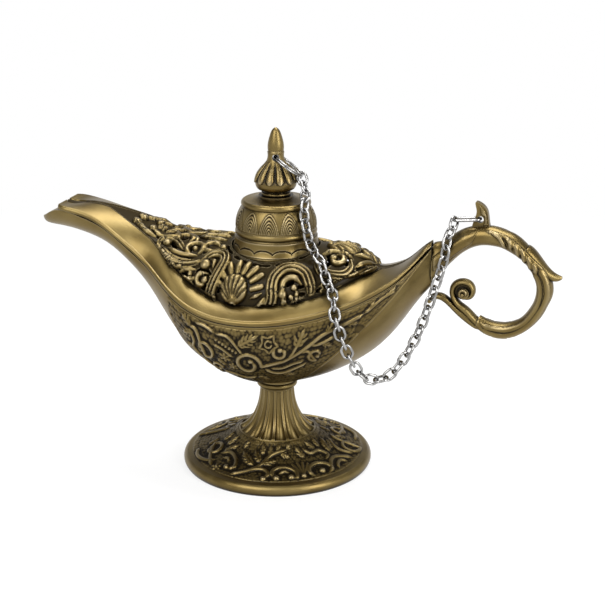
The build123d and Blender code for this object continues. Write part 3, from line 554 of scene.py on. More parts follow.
def on_chart(points, u, v, line):
    """Places on the surface of a line given in chart millimetres."""
    a = np.clip((line[:, 0] - u[0]) / (u[1] - u[0]), 0, len(u) - 1.001)
    b = np.clip((line[:, 1] - v[0]) / (v[1] - v[0]), 0, len(v) - 1.001)
    i = a.astype(int)
    j = b.astype(int)
    s = (a - i)[:, None]
    t = (b - j)[:, None]
    low = points[i, j] * (1 - s) + points[i + 1, j] * s
    high = points[i, j + 1] * (1 - s) + points[i + 1, j + 1] * s
    return low * (1 - t) + high * t


def dense(line, step):
    """The line with points at even steps, and their distances along it."""
    gaps = np.linalg.norm(np.diff(line, axis=0), axis=1)
    way = np.concatenate([[0.0], np.cumsum(gaps)])
    at = np.linspace(0, way[-1], max(2, int(way[-1] / step) + 1))
    return np.column_stack([np.interp(at, way, line[:, k]) for k in range(3)]), at


def carved(points, u, v, strokes, base):
    """Height over the surface: strokes are strands that thin out at their ends, and grooves are cut last."""
    height = base.copy()
    depth = np.zeros(base.shape)
    flat = points.reshape(-1, 3)
    for line, half, rise, ends, wall in strokes:
        layer = (height if rise > 0 else depth).reshape(-1)
        path, at = dense(on_chart(points, u, v, line), STROKE_STEP * half)
        near = np.minimum(at, at[-1] - at) / (STROKE_TAPER * half)
        share = np.clip(ends + (1 - ends) * near, 0, 1)
        low = path.min(0) - half
        high = path.max(0) + half
        inside = np.flatnonzero(np.all((flat > low) & (flat < high), axis=1))
        for part in np.array_split(inside, len(inside) * len(path) // BATCH + 1):
            gap = np.linalg.norm(flat[part][:, None, :] - path[None], axis=2) / (half * share)[None]
            best = gap.argmin(axis=1)
            d = gap[np.arange(len(part)), best]
            lift = share[best] * (wall + abs(rise) * np.sqrt(np.clip(1 - d * d, 0, 1)))
            layer[part] = np.where(d < 1, np.maximum(layer[part], lift), layer[part])
    return np.where(height > CUT_ABOVE, np.maximum(height - depth, CUT_FLOOR), height)


def pebbles(u, v, size, rise, seed):
    """Close-set round grains on a jittered lattice."""
    draw = np.random.RandomState(seed)
    a, b = np.meshgrid(u / size, v / size, indexing="ij")
    low = np.array([np.floor(a.min()) - 2, np.floor(b.min()) - 2])
    shape = (int(np.ptp(a)) + 6, int(np.ptp(b)) + 6)
    shift = draw.uniform(*GRAIN_SHIFT, shape + (2,))
    i = np.floor(a - low[0]).astype(int)
    j = np.floor(b - low[1]).astype(int)
    best = np.full(a.shape, np.inf)
    for p in (-1, 0, 1):
        for q in (-1, 0, 1):
            spot = shift[i + p, j + q]
            x = low[0] + i + p + spot[..., 0] + 0.5 * ((j + q) % 2)
            y = low[1] + j + q + spot[..., 1]
            best = np.minimum(best, np.hypot(a - x, b - y))
    return rise * np.sqrt(np.clip(1 - (best / GRAIN_RADIUS) ** 2, 0, 1))


def pride(height, reach, scale, dark):
    """How far each place stands out of its surroundings, from nought in a crevice to one on a crest."""
    # the bronze paints low values dark as patina and painted shade, high ones pale as rubbed wear and a
    # painted highlight; dark lowers them all
    level = np.maximum(height, 0)
    return np.clip(0.5 + (level - filtered(level, reach, np.mean) - dark) / (2 * scale), 0, 1)


def skin(name, body, points, normals, height, reach, scale, dark=0.0, closed=False, keep=None):
    """A mesh of the raised parts of a relief, sunk at its edges, riding on a body.

    Reach, scale and dark are those of pride. A closed skin goes right round. Keep marks the places to use.
    """
    rows, cols = height.shape
    raised = points + normals * height[:, :, None]
    index = np.arange(rows * cols).reshape(rows, cols)
    if closed:
        index = np.vstack([index, index[:1]])
    corners = [index[:-1, :-1], index[1:, :-1], index[1:, 1:], index[:-1, 1:]]
    quads = np.stack(corners, axis=-1).reshape(-1, 4)
    proud = (height > PROUD_FROM).reshape(-1)
    quads = quads[proud[quads].any(axis=1)]
    if keep is not None:
        quads = quads[keep.reshape(-1)[quads].all(axis=1)]
    used, quads = np.unique(quads, return_inverse=True)
    quads = quads.reshape(-1, 4)
    flat = raised.reshape(-1, 3)
    first = flat[used[quads[:, 0]]]
    lean = np.cross(flat[used[quads[:, 1]]] - first, flat[used[quads[:, 3]]] - first)
    if np.sum(lean * normals.reshape(-1, 3)[used[quads[:, 0]]]) < 0:
        quads = quads[:, ::-1]
    mesh = bpy.data.meshes.new(name)
    mesh.from_pydata((flat[used] * MM).tolist(), [], quads.tolist())
    # the relief attribute is the proudness, which the bronze paints as patina and painted shade or as wear
    # and a painted highlight
    relief = mesh.attributes.new("relief", "FLOAT", "POINT")
    proudness = pride(height, reach, scale, dark).reshape(-1)
    relief.data.foreach_set("value", proudness[used].astype(np.float32))
    mesh.polygons.foreach_set("use_smooth", np.ones(len(mesh.polygons), bool))
    mesh.materials.append(RELIEF_BRONZE)
    made = bpy.data.objects.new(name, mesh)
    bpy.context.scene.collection.objects.link(made)
    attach(made, body)
    return made


def chain_tree():
    """All links and rings of the chain, to measure the room below it."""
    corners = []
    faces = []
    for name, node in NODES.items():
        if name.startswith("chain_link") or name.endswith("_ring"):
            first = len(corners)
            corners += [node.matrix_world @ corner.co for corner in node.data.vertices]
            faces += [[first + k for k in face.vertices] for face in node.data.polygons]
    return BVHTree.FromPolygons(corners, faces)


CHAIN = chain_tree()


def under_chain(points, height):
    """The relief kept low where the chain hangs close over it."""
    low = height.copy()
    for i, j in np.argwhere(height > SUNK):
        near = CHAIN.find_nearest(Vector(points[i, j]) * MM, CHAIN_NEAR * MM)
        if near[0] is not None:
            low[i, j] = max(SUNK, min(low[i, j], near[3] / MM - CHAIN_GAP))
    return low


def table(rows, x):
    """A value from rows of place and value."""
    return np.interp(x, [r[0] for r in rows], [r[1] for r in rows])


# openwork of the cover: u along the lamp, v round its long axis from the near edge

def cover_strokes():
    """The openwork of the near side, up to the lamp's axis."""
    out = []
    # shell at the middle of the side, with the rays behind it
    foot = (-7.8, 6.4)
    rays = [
        (-15.8, 13.0), (-14.8, 17.0), (-11.6, 19.6), (-8.0, 20.6),
        (-4.4, 20.2), (-1.0, 18.8), (1.6, 16.2), (2.4, 12.4),
    ]
    for x, y in rays:
        near = (0.36 * foot[0] + 0.64 * x, 0.36 * (foot[1] + 3.0) + 0.64 * y)
        out += [(rounded([near, (x, y)]), 1.45, 1.0, 0.75, 0.6)]
    out += shell(foot, (-8.2, 14.2), 5.2, 8, 2.3)
    out += stem(1.2, 0.9, (0.0, 5.6), (2.4, 6.6), (4.4, 9.6), wall=0.6)
    out += stem(0.9, 0.8, (-1.4, 8.4), (0.8, 9.4), (2.6, 10.4), wall=0.6)
    # scroll towards the handle, round a flower
    turn = [
        (2.6, 4.8), (5.4, 6.2), (6.6, 9.0), (6.2, 12.6), (6.6, 16.4),
        (9.2, 19.6), (13.2, 20.6), (17.3, 18.9), (19.7, 15.2), (20.4, 11.2),
    ]
    out += band(2.3, 1.3, 2, *turn)
    inner = [(11.8, 5.6), (10.8, 9.6), (9.9, 13.6), (11.2, 15.9), (13.9, 16.6), (16.6, 14.8)]
    out += stem(1.15, 1.1, *inner, wall=0.5)
    out += bead((10.4, 10.6), 1.7, 1.5, 0.5)
    out += flower((15.4, 9.4), 3.0, 5, 1.3, wall=0.4)
    out += stem(1.0, 0.8, (18.4, 6.6), (20.6, 8.6), (24.6, 10.4), wall=0.5)
    out += bead((14.2, 13.2), 1.2, 1.0, 0.4)
    # scroll towards the spout, with its foot, a small curl and a flower
    turn = [
        (-13.2, 5.4), (-16.4, 5.8), (-17.6, 8.6), (-16.6, 12.6), (-15.2, 17.0),
        (-14.4, 20.8), (-15.6, 23.4), (-18.4, 24.2), (-21.4, 23.1), (-23.8, 20.4),
    ]
    out += band(2.2, 1.3, 2, *turn)
    out += bead((-21.6, 18.9), 2.1, 1.6, 0.5)
    out += stem(1.0, 0.9, (-18.4, 18.0), (-18.6, 20.6), (-20.6, 21.2), wall=0.5)
    out += curl(1.0, 1.1, (-21.6, 13.0), 2.8, 60, 300, wall=0.5)
    out += stem(1.0, 0.9, (-21.6, 6.8), (-19.6, 8.4), (-19.4, 10.0), wall=0.5)
    out += flower((-27.0, 12.8), 3.3, 5, 1.3, wall=0.4)
    out += stem(1.0, 0.9, (-31.6, 15.4), (-29.4, 16.6), (-25.2, 16.8), wall=0.5)
    out += bead((-24.6, 9.4), 1.3, 1.0, 0.4)
    # long strands that sweep to the spout and break in a wave
    sweep = [(-24.9, 20.2), (-28.6, 18.9), (-32.9, 19.0), (-37.4, 20.6), (-40.6, 22.9), (-43.0, 25.4)]
    out += band(2.3, 1.3, 2, *sweep)
    out += stem(1.1, 1.0, (-26.8, 22.8), (-31.0, 22.4), (-35.2, 23.2), (-38.7, 24.9), wall=0.5)
    wave = [(-42.8, 25.6), (-43.2, 28.0), (-40.4, 30.0), (-37.1, 29.4), (-34.7, 27.2), (-32.4, 25.0)]
    out += band(1.5, 1.1, 1, *wave)
    out += bead((-40.2, 27.2), 1.6, 1.3, 0.5)
    out += arch(1.1, 1.1, (-28.4, 26.2), 3.2, -50, 270, wall=0.5)
    out += bead((-28.4, 26.2), 1.1, 0.9, 0.4)
    out += arch(1.0, 1.0, (-22.2, 28.0), 2.8, 20, 320, wall=0.5)
    out += bead((-17.6, 27.8), 1.4, 1.0, 0.5)
    out += leaf((-26.6, 31.0), (-20.4, 32.4), 2.0, 1.0)
    # lobes along the band near the spout
    out += stem(1.4, 1.2, (-56.4, 35.0), (-53.8, 33.4), (-50.4, 30.8), (-45.8, 29.4), wall=0.5)
    out += bead((-55.6, 34.9), 1.9, 1.5, 0.5)
    out += stem(1.3, 1.1, (-49.4, 34.4), (-47.6, 32.6), (-45.0, 31.2), (-42.6, 30.8), wall=0.5)
    out += bead((-48.8, 34.0), 1.7, 1.4, 0.5)
    out += arch(1.1, 1.0, (-41.4, 34.0), 2.8, -140, 150, wall=0.5)
    out += arch(1.1, 1.0, (-34.8, 32.8), 2.9, -40, 250, wall=0.5)
    out += stem(1.0, 0.9, (-37.8, 36.8), (-33.8, 36.4), (-30.6, 33.8), (-29.8, 30.4), wall=0.5)
    out += stem(1.0, 0.9, (-30.4, 37.0), (-26.4, 36.0), (-22.8, 35.0), (-19.0, 35.2), wall=0.5)
    out += flower((-46.4, 37.4), 2.2, 5, 1.1, wall=0.4)
    # shell on the axis behind the lid, with scrolls beside it and strands to the field's tip
    out += shell((21.6, 37.8), (31.0, 37.8), 5.4, 8, 1.8)
    out += curl(1.05, 1.1, (26.6, 27.2), 3.0, 100, -300, wall=0.5)
    hook = [(19.6, 24.6), (21.8, 21.4), (26.0, 20.2), (30.4, 21.6), (32.4, 25.2), (31.6, 29.0)]
    out += band(1.9, 1.2, 2, *hook)
    out += stem(1.0, 1.0, (20.8, 29.4), (23.8, 31.8), (28.2, 32.0), (31.6, 30.8), wall=0.5)
    out += band(1.8, 1.1, 1, (24.0, 13.4), (29.0, 16.6), (33.4, 21.6), (36.8, 27.6), (39.6, 34.0))
    out += leaf((22.6, 15.0), (29.0, 18.0), 1.7, 1.0)
    out += stem(1.1, 1.0, (33.6, 26.6), (35.8, 31.4), (39.0, 36.4), wall=0.5)
    out += stem(1.0, 1.0, (31.8, 33.6), (34.4, 35.6), (37.8, 37.8), wall=0.5)
    return out


def lowered(line):
    """The ornament stands proud of the cover, so it is drawn lower on the side than it shows."""
    drop = COVER_DROP * np.clip((DROP_FROM - line[:, 1]) / DROP_OVER, 0, 1)
    return np.column_stack([line[:, 0], line[:, 1] - drop])


def cover_skin():
    """The openwork, the same on both sides."""
    u = np.arange(*COVER_X, COVER_STEP)
    v = np.arange(*COVER_GIRTH, COVER_STEP)
    half_turn = 180.0 * COVER_MM_PER_DEGREE

    def ray(x, girth):
        a = radians(girth / COVER_MM_PER_DEGREE)
        out = (0.0, -cos(a), sin(a))
        start = (x, COVER_RAY * out[1], COVER_AXIS_Z + COVER_RAY * out[2])
        return start, (0.0, -out[1], -out[2])

    points, normals, _ = laid("cover", u, v, ray, bridge=COVER_BRIDGE)
    strokes = [(lowered(line), *rest) for line, *rest in cover_strokes()]
    far = [(np.column_stack([line[:, 0], half_turn - line[:, 1]]), *rest) for line, *rest in strokes]
    height = carved(points, u, v, strokes + far, np.full(points.shape[:2], SUNK))
    inside = np.abs(points[:, :, 1]) < table(FIELD_EDGE, points[:, :, 0]) + FIELD_MARGIN
    clear = np.hypot(points[:, :, 0], points[:, :, 1]) > COLLAR_CLEAR_R
    height = under_chain(points, np.where(inside & clear, height, SUNK))
    return skin("cover_relief", "lamp", points, normals, height, reach=5, scale=0.95)


# relief of the bowl: u along the lamp, v down from the rim

def bowl_strokes():
    """The scrolls, leaves and flowers of one panel."""
    out = []
    # the stem that runs back to the handle, out of a curl under the middle
    out += curl(0.85, 0.85, (-1.2, 13.6), 5.0, 10, -420, [(12.6, 12.6), (8.6, 13.6)])
    run = [(6.6, 14.2), (12.4, 13.0), (17.2, 11.4), (21.2, 9.6), (25.7, 7.2), (32.0, 6.2), (39.9, 6.0)]
    out += stem(0.75, 0.80, *run)
    out += stem(0.55, 0.70, (39.9, 6.0), (43.0, 4.6), (46.4, 3.6), (50.0, 4.4))
    out += leaf((41.6, 5.4), (43.4, 2.4), 1.0, 0.65, 2)
    out += leaf((46.6, 3.8), (50.0, 2.0), 1.0, 0.65, 2)
    out += leaf((34.0, 6.2), (38.0, 9.4), 1.3, 0.65)
    out += leaf((27.0, 7.0), (30.6, 3.0), 1.3, 0.65)
    out += curl(0.75, 0.80, (11.2, 9.6), 2.6, -120, -330)
    out += stem(0.60, 0.70, (13.4, 12.6), (15.6, 10.6), (18.0, 7.0))
    out += leaf((16.8, 9.4), (20.2, 2.4), 2.4, 0.75)
    out += curl(0.70, 0.75, (22.8, 14.6), 2.7, 100, 320, [(17.4, 11.6), (20.6, 12.0)])
    out += stem(0.60, 0.70, (21.4, 9.8), (25.6, 10.4), (30.4, 9.6))
    out += leaf((25.6, 10.4), (29.0, 14.0), 1.3, 0.65)
    out += stem(0.65, 0.75, (4.6, 15.4), (6.8, 17.8), (10.0, 19.0), (14.6, 18.2), (19.4, 17.2))
    out += stem(0.50, 0.65, (6.6, 15.6), (10.4, 16.4), (15.0, 15.6), (18.6, 15.8))
    out += leaf((10.0, 19.0), (14.6, 22.4), 1.6, 0.65)
    out += leaf((1.0, 20.0), (5.0, 24.0), 1.6, 0.65)
    # flowers, leaves and a row of beads under the rim
    out += star((7.4, 5.8), 3.5, 0.48, 0.65)
    out += leaf((-4.4, 6.4), (4.0, 2.6), 2.2, 0.75, 4)
    out += stem(0.55, 0.70, (-12.6, 3.4), (-8.0, 3.6), (-5.0, 6.0), (-2.4, 9.4))
    out += stem(0.50, 0.65, (-14.2, 7.4), (-10.2, 8.6), (-6.2, 11.2))
    for i in range(7):
        out += bead((-12.4 + 1.25 * i, 5.6 + 0.55 * i), 0.58, 0.55)
    out += flower((-9.8, 11.8), 2.2, 6, 0.65)
    out += flower((-7.2, 15.6), 1.9, 6, 0.65)
    out += leaf((-13.4, 13.2), (-9.8, 16.4), 1.3, 0.6)
    # scrolls towards the spout
    out += curl(0.75, 0.80, (-18.0, 11.0), 3.8, 95, -330, [(-24.0, 4.4), (-20.4, 5.4)])
    out += stem(0.60, 0.70, (-21.0, 2.2), (-16.4, 1.9), (-12.6, 3.4))
    out += leaf((-22.6, 4.6), (-27.0, 1.6), 1.8, 0.70)
    out += leaf((-22.0, 6.4), (-27.6, 9.6), 1.8, 0.70)
    out += stem(0.60, 0.70, (-23.4, 6.0), (-22.4, 10.0), (-23.4, 14.0), (-20.6, 17.6))
    out += leaf((-23.2, 13.0), (-27.0, 16.4), 1.4, 0.65)
    out += curl(0.65, 0.75, (-13.6, 18.2), 2.6, 120, 320, [(-20.6, 17.8), (-17.4, 19.4)])
    out += stem(0.55, 0.65, (-13.0, 21.0), (-8.0, 20.6), (-4.0, 22.0), (0.6, 20.6))
    out += leaf((-8.0, 20.4), (-5.4, 25.4), 1.6, 0.65)
    out += leaf((-17.0, 20.6), (-13.4, 25.0), 1.5, 0.65)
    return out


def bowl_skin(name, side):
    """The panel on one side of the bowl: strokes on a grained ground inside a border."""
    u = np.arange(*BOWL_X, BOWL_STEP)
    v = np.arange(*BOWL_DEPTH, BOWL_STEP)

    def ray(x, depth):
        a = radians(depth / BOWL_MM_PER_DEGREE)
        out = (0.0, side * cos(a), -sin(a))
        z = float(table(RIM_LINE, x))
        return (x, RAY_START * out[1], z + RAY_START * out[2]), (0.0, -out[1], -out[2])

    points, normals, _ = laid("bowl", u, v, ray)
    deep = table(PANEL_FOOT, u)[:, None]
    below_rim = v[None, :] > PANEL_TOP
    grain = pebbles(u, v, BOWL_GRAIN, BOWL_GRAIN_RISE, BOWL_GRAIN_SEED)
    ground = np.where(below_rim & (v[None, :] < deep), GROUND + grain, SUNK)
    border = np.column_stack([u, np.clip(deep[:, 0], None, PANEL_END)])[::4]
    height = carved(points, u, v, bowl_strokes() + [(border, *BORDER_STROKE)], ground)
    height = np.where(below_rim & (v[None, :] < deep + PANEL_BORDER), height, SUNK)
    away = np.linalg.norm(points - np.array(LIFTED_LINK), axis=2) - LIFTED_LINK_REACH
    height = under_chain(points, np.minimum(height, np.maximum(away, LIFTED_LINK_RISE)))
    return skin(name, "lamp", points, normals, height, reach=6, scale=0.50, dark=0.10)


# relief of the foot: u round it, v out from its axis

def foot_strokes():
    """The scrolls and leaves of the front half."""
    out = []
    # row of scrolls along the front edge, with a small fan between two of them
    out += stem(0.85, 0.70, (-2.9, 28.7), (0.1, 27.2), (3.0, 27.2), (4.7, 29.4), (3.7, 32.0))
    out += bead((3.5, 31.9), 1.1, 0.8)
    loop = [(6.3, 31.7), (6.0, 28.0), (8.2, 26.1), (11.6, 26.3), (13.8, 28.5), (13.8, 31.4), (12.2, 31.7)]
    out += stem(0.90, 0.75, *loop)
    out += bead((7.4, 31.4), 1.2, 0.9)
    out += bead((12.0, 31.2), 1.2, 0.9)
    out += stem(0.60, 0.60, (8.0, 29.4), (10.0, 28.0), (11.8, 29.0))
    out += fan((15.9, 31.0), 1.2, 6.6, -128, -58, 5, 0.75, 0.65)
    out += bead((15.9, 31.2), 1.1, 0.9)
    hook = [(19.4, 32.3), (18.3, 29.9), (19.4, 27.3), (22.8, 26.3), (25.8, 28.0), (26.3, 30.8), (24.2, 32.5)]
    out += stem(0.90, 0.75, *hook)
    out += bead((22.6, 30.6), 1.2, 0.9)
    # strands and leaves towards the handle
    out += stem(0.80, 0.70, (21.2, 18.2), (23.5, 21.1), (28.4, 21.2), (30.5, 24.4), (27.4, 26.2))
    out += stem(1.00, 0.75, (25.9, 31.0), (28.5, 27.7), (31.7, 27.0), (35.0, 29.5), (36.8, 32.2))
    out += stem(0.70, 0.65, (28.4, 32.4), (29.6, 30.2), (32.0, 29.6), (33.6, 31.8))
    out += curl(0.80, 0.75, (43.4, 28.6), 4.2, 80, 330, [(47.6, 20.8), (45.2, 23.0)])
    out += stem(0.80, 0.70, (42.6, 20.0), (38.8, 22.6), (37.6, 26.4), (39.4, 31.4))
    out += leaf((32.6, 24.0), (37.6, 17.6), 1.9, 0.70, 4)
    out += leaf((27.6, 20.6), (24.8, 16.2), 1.6, 0.65)
    out += leaf((34.8, 23.6), (40.2, 19.6), 1.4, 0.60)
    out += leaf((19.8, 22.6), (17.6, 17.0), 1.7, 0.65)
    out += leaf((30.6, 20.4), (31.4, 16.0), 1.4, 0.60)
    # leafy branch in front of the stem
    branch = [(-7.2, 32.4), (-3.2, 29.4), (0.7, 25.8), (3.5, 21.4), (6.4, 19.3), (12.8, 17.9)]
    out += stem(0.80, 0.70, *branch)
    out += leaf((1.3, 24.4), (7.6, 22.4), 1.6, 0.65)
    out += leaf((4.4, 20.8), (4.0, 16.2), 1.5, 0.65)
    out += leaf((7.4, 19.0), (9.6, 15.8), 1.4, 0.60)
    out += leaf((9.0, 18.8), (13.6, 21.6), 1.5, 0.65)
    out += leaf((12.8, 17.9), (15.4, 15.8), 1.2, 0.60)
    out += leaf((-1.1, 25.8), (-9.6, 20.2), 1.9, 0.70, 4)
    out += leaf((1.0, 24.0), (-3.8, 18.6), 1.8, 0.70)
    out += leaf((0.8, 20.4), (-0.6, 15.8), 1.4, 0.60)
    # scrolls towards the spout
    out += stem(0.85, 0.75, (-18.7, 25.3), (-14.5, 22.9), (-9.8, 24.6), (-7.7, 28.2), (-9.7, 30.6))
    out += bead((-10.2, 29.6), 1.2, 0.9)
    out += stem(0.65, 0.65, (-15.4, 26.4), (-12.8, 25.6), (-11.4, 27.4))
    out += stem(0.80, 0.70, (-28.7, 31.2), (-23.6, 32.6), (-18.6, 31.0), (-16.6, 28.4))
    out += curl(0.80, 0.75, (-23.6, 26.0), 3.8, 200, 330, [(-15.4, 31.8), (-19.4, 29.4)])
    out += flower((-13.2, 31.4), 1.8, 5, 0.65)
    out += leaf((-18.6, 24.2), (-14.6, 18.6), 1.7, 0.65)
    out += leaf((-21.4, 21.4), (-20.4, 16.2), 1.6, 0.65)
    out += leaf((-26.4, 21.6), (-28.4, 16.4), 1.6, 0.65)
    out += leaf((-28.6, 27.4), (-31.0, 22.4), 1.5, 0.60)
    out += leaf((-10.6, 19.4), (-10.0, 15.8), 1.2, 0.60)
    return out


def foot_skin():
    """The ornament round the foot: the front half's strokes, twice, on a grained ground."""
    around = 2 * pi * FOOT_RADIUS
    u = np.arange(FOOT_STEPS_ROUND) * around / FOOT_STEPS_ROUND - 0.25 * around
    v = np.arange(FOOT_INNER - FOOT_INNER_MARGIN, FOOT_OUTER + FOOT_OUTER_MARGIN, FOOT_STEP)

    def ray(arc, r):
        a = arc / FOOT_RADIUS - 0.5 * pi
        return (r * cos(a), r * sin(a), RAY_START), (0.0, 0.0, -1.0)

    points, normals, _ = laid("pedestal", u, v, ray)
    inside = (v > FOOT_INNER) & (v < FOOT_OUTER)
    grain = pebbles(u, v, FOOT_GRAIN, FOOT_GRAIN_RISE, FOOT_GRAIN_SEED)
    ground = np.where(inside[None, :], GROUND + grain, SUNK)
    strokes = []
    for line, *rest in foot_strokes():
        for shift in (0.0, 0.5 * around):
            strokes.append((np.column_stack([line[:, 0] + shift, line[:, 1]]), *rest))
    height = carved(points, u, v, strokes, ground)
    height = np.where(inside[None, :], height, SUNK)
    return skin("foot_relief", "lamp", points, normals, height, reach=6, scale=0.50, dark=0.13, closed=True)


# lid, collar and finial: u round the lamp's neck, v is height

def ringed(node, radius, low, high, step):
    """Chart, points and normals on a turned part."""
    around = 2 * pi * radius
    count = int(around / step)
    u = np.arange(count) * around / count
    v = np.arange(low, high, step)

    def ray(arc, z):
        a = arc / radius
        return (RAY_START * cos(a), RAY_START * sin(a), z), (-cos(a), -sin(a), 0.0)

    points, normals, _ = laid(node, u, v, ray)
    return u[:, None], v[None, :], points, normals


def drum_skin():
    """Petals round the lid, each a nest of arches on a ground painted dark as patina and painted shade."""
    top = PETAL_FOOT + PETAL_TALL + DRUM_MARGIN
    u, v, points, normals = ringed("lid_dome", DRUM_RADIUS, PETAL_FOOT, top, DRUM_STEP)
    pitch = 2 * pi * DRUM_RADIUS / PETALS
    side = np.abs((u + 0.25 * pitch) % pitch - 0.5 * pitch)
    rise = (v - PETAL_FOOT) / PETAL_TALL
    nest = ((side / PETAL_HALF) ** PETAL_CURVE + rise ** PETAL_CURVE) ** (1 / PETAL_CURVE)
    off_groove = np.min([np.abs(nest - g) for g in PETAL_GROOVES], axis=0)
    petal = PETAL_RISE * np.clip(off_groove / PETAL_GROOVE_HALF, PETAL_GROOVE_FLOOR, 1)
    height = np.where(nest < 1, petal, GROUND)
    height = np.where(rise < (PETAL_TALL + DRUM_GROUND_MARGIN) / PETAL_TALL, height, SUNK)
    height[:, 0] = SUNK
    return skin("drum_relief", "lid", points, normals, height, reach=3, scale=0.14, closed=True)


def collar_skin():
    """A scalloped edge round the collar, with a line over it painted dark as patina and painted shade."""
    low = SCALLOP_Z - SCALLOP_FOOT
    u, v, points, normals = ringed("neck_collar", COLLAR_RADIUS, low, COLLAR_TOP, COLLAR_STEP)
    pitch = 2 * pi * COLLAR_RADIUS / SCALLOPS
    edge = SCALLOP_Z + SCALLOP_TALL * np.sqrt(np.abs(np.sin(pi * u / pitch)))
    height = np.where((v > edge) & (v < edge + SCALLOP_LINE), GROUND, SCALLOP_RISE)
    height[:, [0, -1]] = SUNK
    height = under_chain(points, height)
    return skin("collar_relief", "lamp", points, normals, height, reach=5, scale=0.20, closed=True)


def finial_skin():
    """Ribs down the bulb, with flutes between them painted dark as patina and painted shade."""
    u, v, points, normals = ringed("finial", BULB_RADIUS, RIB_FOOT, RIB_TOP, RIB_STEP)
    pitch = 2 * pi * BULB_RADIUS / BULB_RIBS
    side = np.abs((u + 0.5 * pitch) % pitch - 0.5 * pitch) / (0.5 * pitch)
    along = (v - RIB_FOOT) / (RIB_TOP - RIB_FOOT)
    slim = RIB_HALF * np.sqrt(np.clip(along / RIB_ROUND, 0.05, 1))
    fade = np.clip((1 - along) / RIB_FADE, 0, 1)
    height = GROUND + RIB_RISE * fade * np.sqrt(np.clip(1 - (side / slim) ** 2, 0, 1))
    height = np.where(side < FLUTE_WIDE * np.sqrt(np.clip(along / FLUTE_ROUND, 0, 1)), height, SUNK)
    height[:, [0, -1]] = SUNK
    height = under_chain(points, height)
    return skin("finial_relief", "lid", points, normals, height, reach=8, scale=0.24, dark=0.02, closed=True)


# handle: u along the lamp, v is height, on both faces

def handle_strokes():
    """The beads, veins and straps of one face."""
    out = []
    # two beads round the loop
    outer = [
        (98.9, 89.7), (102.4, 84.6), (103.6, 79.5), (102.9, 75.4), (101.1, 71.3),
        (97.8, 66.4), (93.2, 62.7), (88.2, 61.0), (82.5, 61.5), (77.8, 63.6),
    ]
    inner = [
        (96.7, 88.3), (99.6, 83.6), (100.5, 79.5), (100.0, 75.6), (98.4, 71.8),
        (95.4, 67.6), (91.7, 65.0), (87.8, 63.8), (82.7, 64.2), (78.5, 66.0),
    ]
    out += stem(1.45, 0.60, *outer, wall=0.10, ends=0.02)
    out += stem(1.45, 0.60, *inner, wall=0.10, ends=0.02)
    # acanthus leaf: midrib and veins
    out += stem(0.75, 0.55, (80, 100.5), (86, 99.3), (92, 96), (97, 91.5), (102, 87), wall=0.15)
    veins = [
        [(81.8, 100.1), (85.0, 98.7), (88.0, 94.9)],
        [(86.6, 99.1), (88.8, 97.4), (90.0, 94.0)],
        [(89.4, 97.4), (91.4, 95.3), (93.0, 91.5)],
        [(91.8, 96.1), (93.8, 93.6), (95.2, 89.4)],
        [(94.6, 93.6), (96.2, 91.1), (97.4, 86.9)],
        [(97.0, 91.5), (98.4, 88.6), (99.4, 85.6)],
    ]
    for vein in veins:
        out += stem(0.80, 0.85, *vein, wall=0.20)
    # strap from the cover to the thumb leaf, and the leaf's rounded back
    out += stem(2.3, 0.90, (60, 85.4), (67, 91.6), (73, 96.4), (77.4, 100.4), wall=0.05, ends=0.10)
    out += stem(2.6, 1.00, (79.6, 101.8), (79.9, 104.2), (79.4, 106.8), (77.8, 109.4), wall=0.05, ends=0.30)
    return out


def handle_skin(name, side):
    """The ornament on one face of the handle, away from its outline."""
    u = np.arange(*HANDLE_X, HANDLE_STEP)
    v = np.arange(*HANDLE_Z, HANDLE_STEP)

    def ray(x, z):
        return (x, RAY_START * side, z), (0.0, -side, 0.0)

    points, normals, facing = laid("handle", u, v, ray, missed=RAY_START)
    height = carved(points, u, v, handle_strokes(), np.full(points.shape[:2], SUNK))
    seen = facing > HANDLE_FACING
    firm = filtered(seen.astype(float), HANDLE_MARGIN, np.min) > 0
    height = under_chain(points, np.where(firm, height, SUNK))
    return skin(name, "lamp", points, normals, height, reach=6, scale=0.60, keep=seen)


def scroll_eye(name, side):
    """The web inside the handle's scroll, with the spiral that winds in to its eye."""
    u = np.arange(EYE_AT[0] - EYE_REACH, EYE_AT[0] + EYE_REACH, EYE_STEP)
    v = np.arange(EYE_AT[1] - EYE_REACH, EYE_AT[1] + EYE_REACH, EYE_STEP)
    x, z = np.meshgrid(u, v, indexing="ij")
    points = np.stack([x, np.full(x.shape, EYE_WEB * side), z], axis=-1)
    normals = np.broadcast_to(np.array([0.0, side, 0.0]), points.shape)
    web = np.where(np.hypot(x - EYE_AT[0], z - EYE_AT[1]) < EYE_REACH - EYE_EDGE, 0.0, SUNK)
    spiral = curl(0.62, 0.85, SPIRAL_AT, SPIRAL_R, -80, -400, wall=0.9)
    height = carved(points, u, v, spiral, web)
    return skin(name, "lamp", points, normals, height, reach=6, scale=0.60, dark=0.15)


cover_skin()
bowl_skin("bowl_relief_near", -1)
bowl_skin("bowl_relief_far", 1)
foot_skin()
drum_skin()
collar_skin()
finial_skin()
handle_skin("handle_relief_near", -1)
handle_skin("handle_relief_far", 1)
scroll_eye("scroll_eye_near", -1)
scroll_eye("scroll_eye_far", 1)


# stage, in metres

FLOOR_REACH = 4.0
FLOOR_PAINT = (0.86, 0.86, 0.86, 1)
WHITE = (1, 1, 1, 1)
# distance from the lamp and share of white that the eye sees on the floor there
FLOOR_WHITE = ((0.16, 0.70), (0.42, 1.0))
# upward part of a direction and brightness of the sky there
SKY_SHADES = ((0.0, 1.0), (0.14, 1.0), (0.34, 0.32), (1.0, 0.26))
# where the lights aim
MIDDLE = (0.0, 0.0, 0.07)


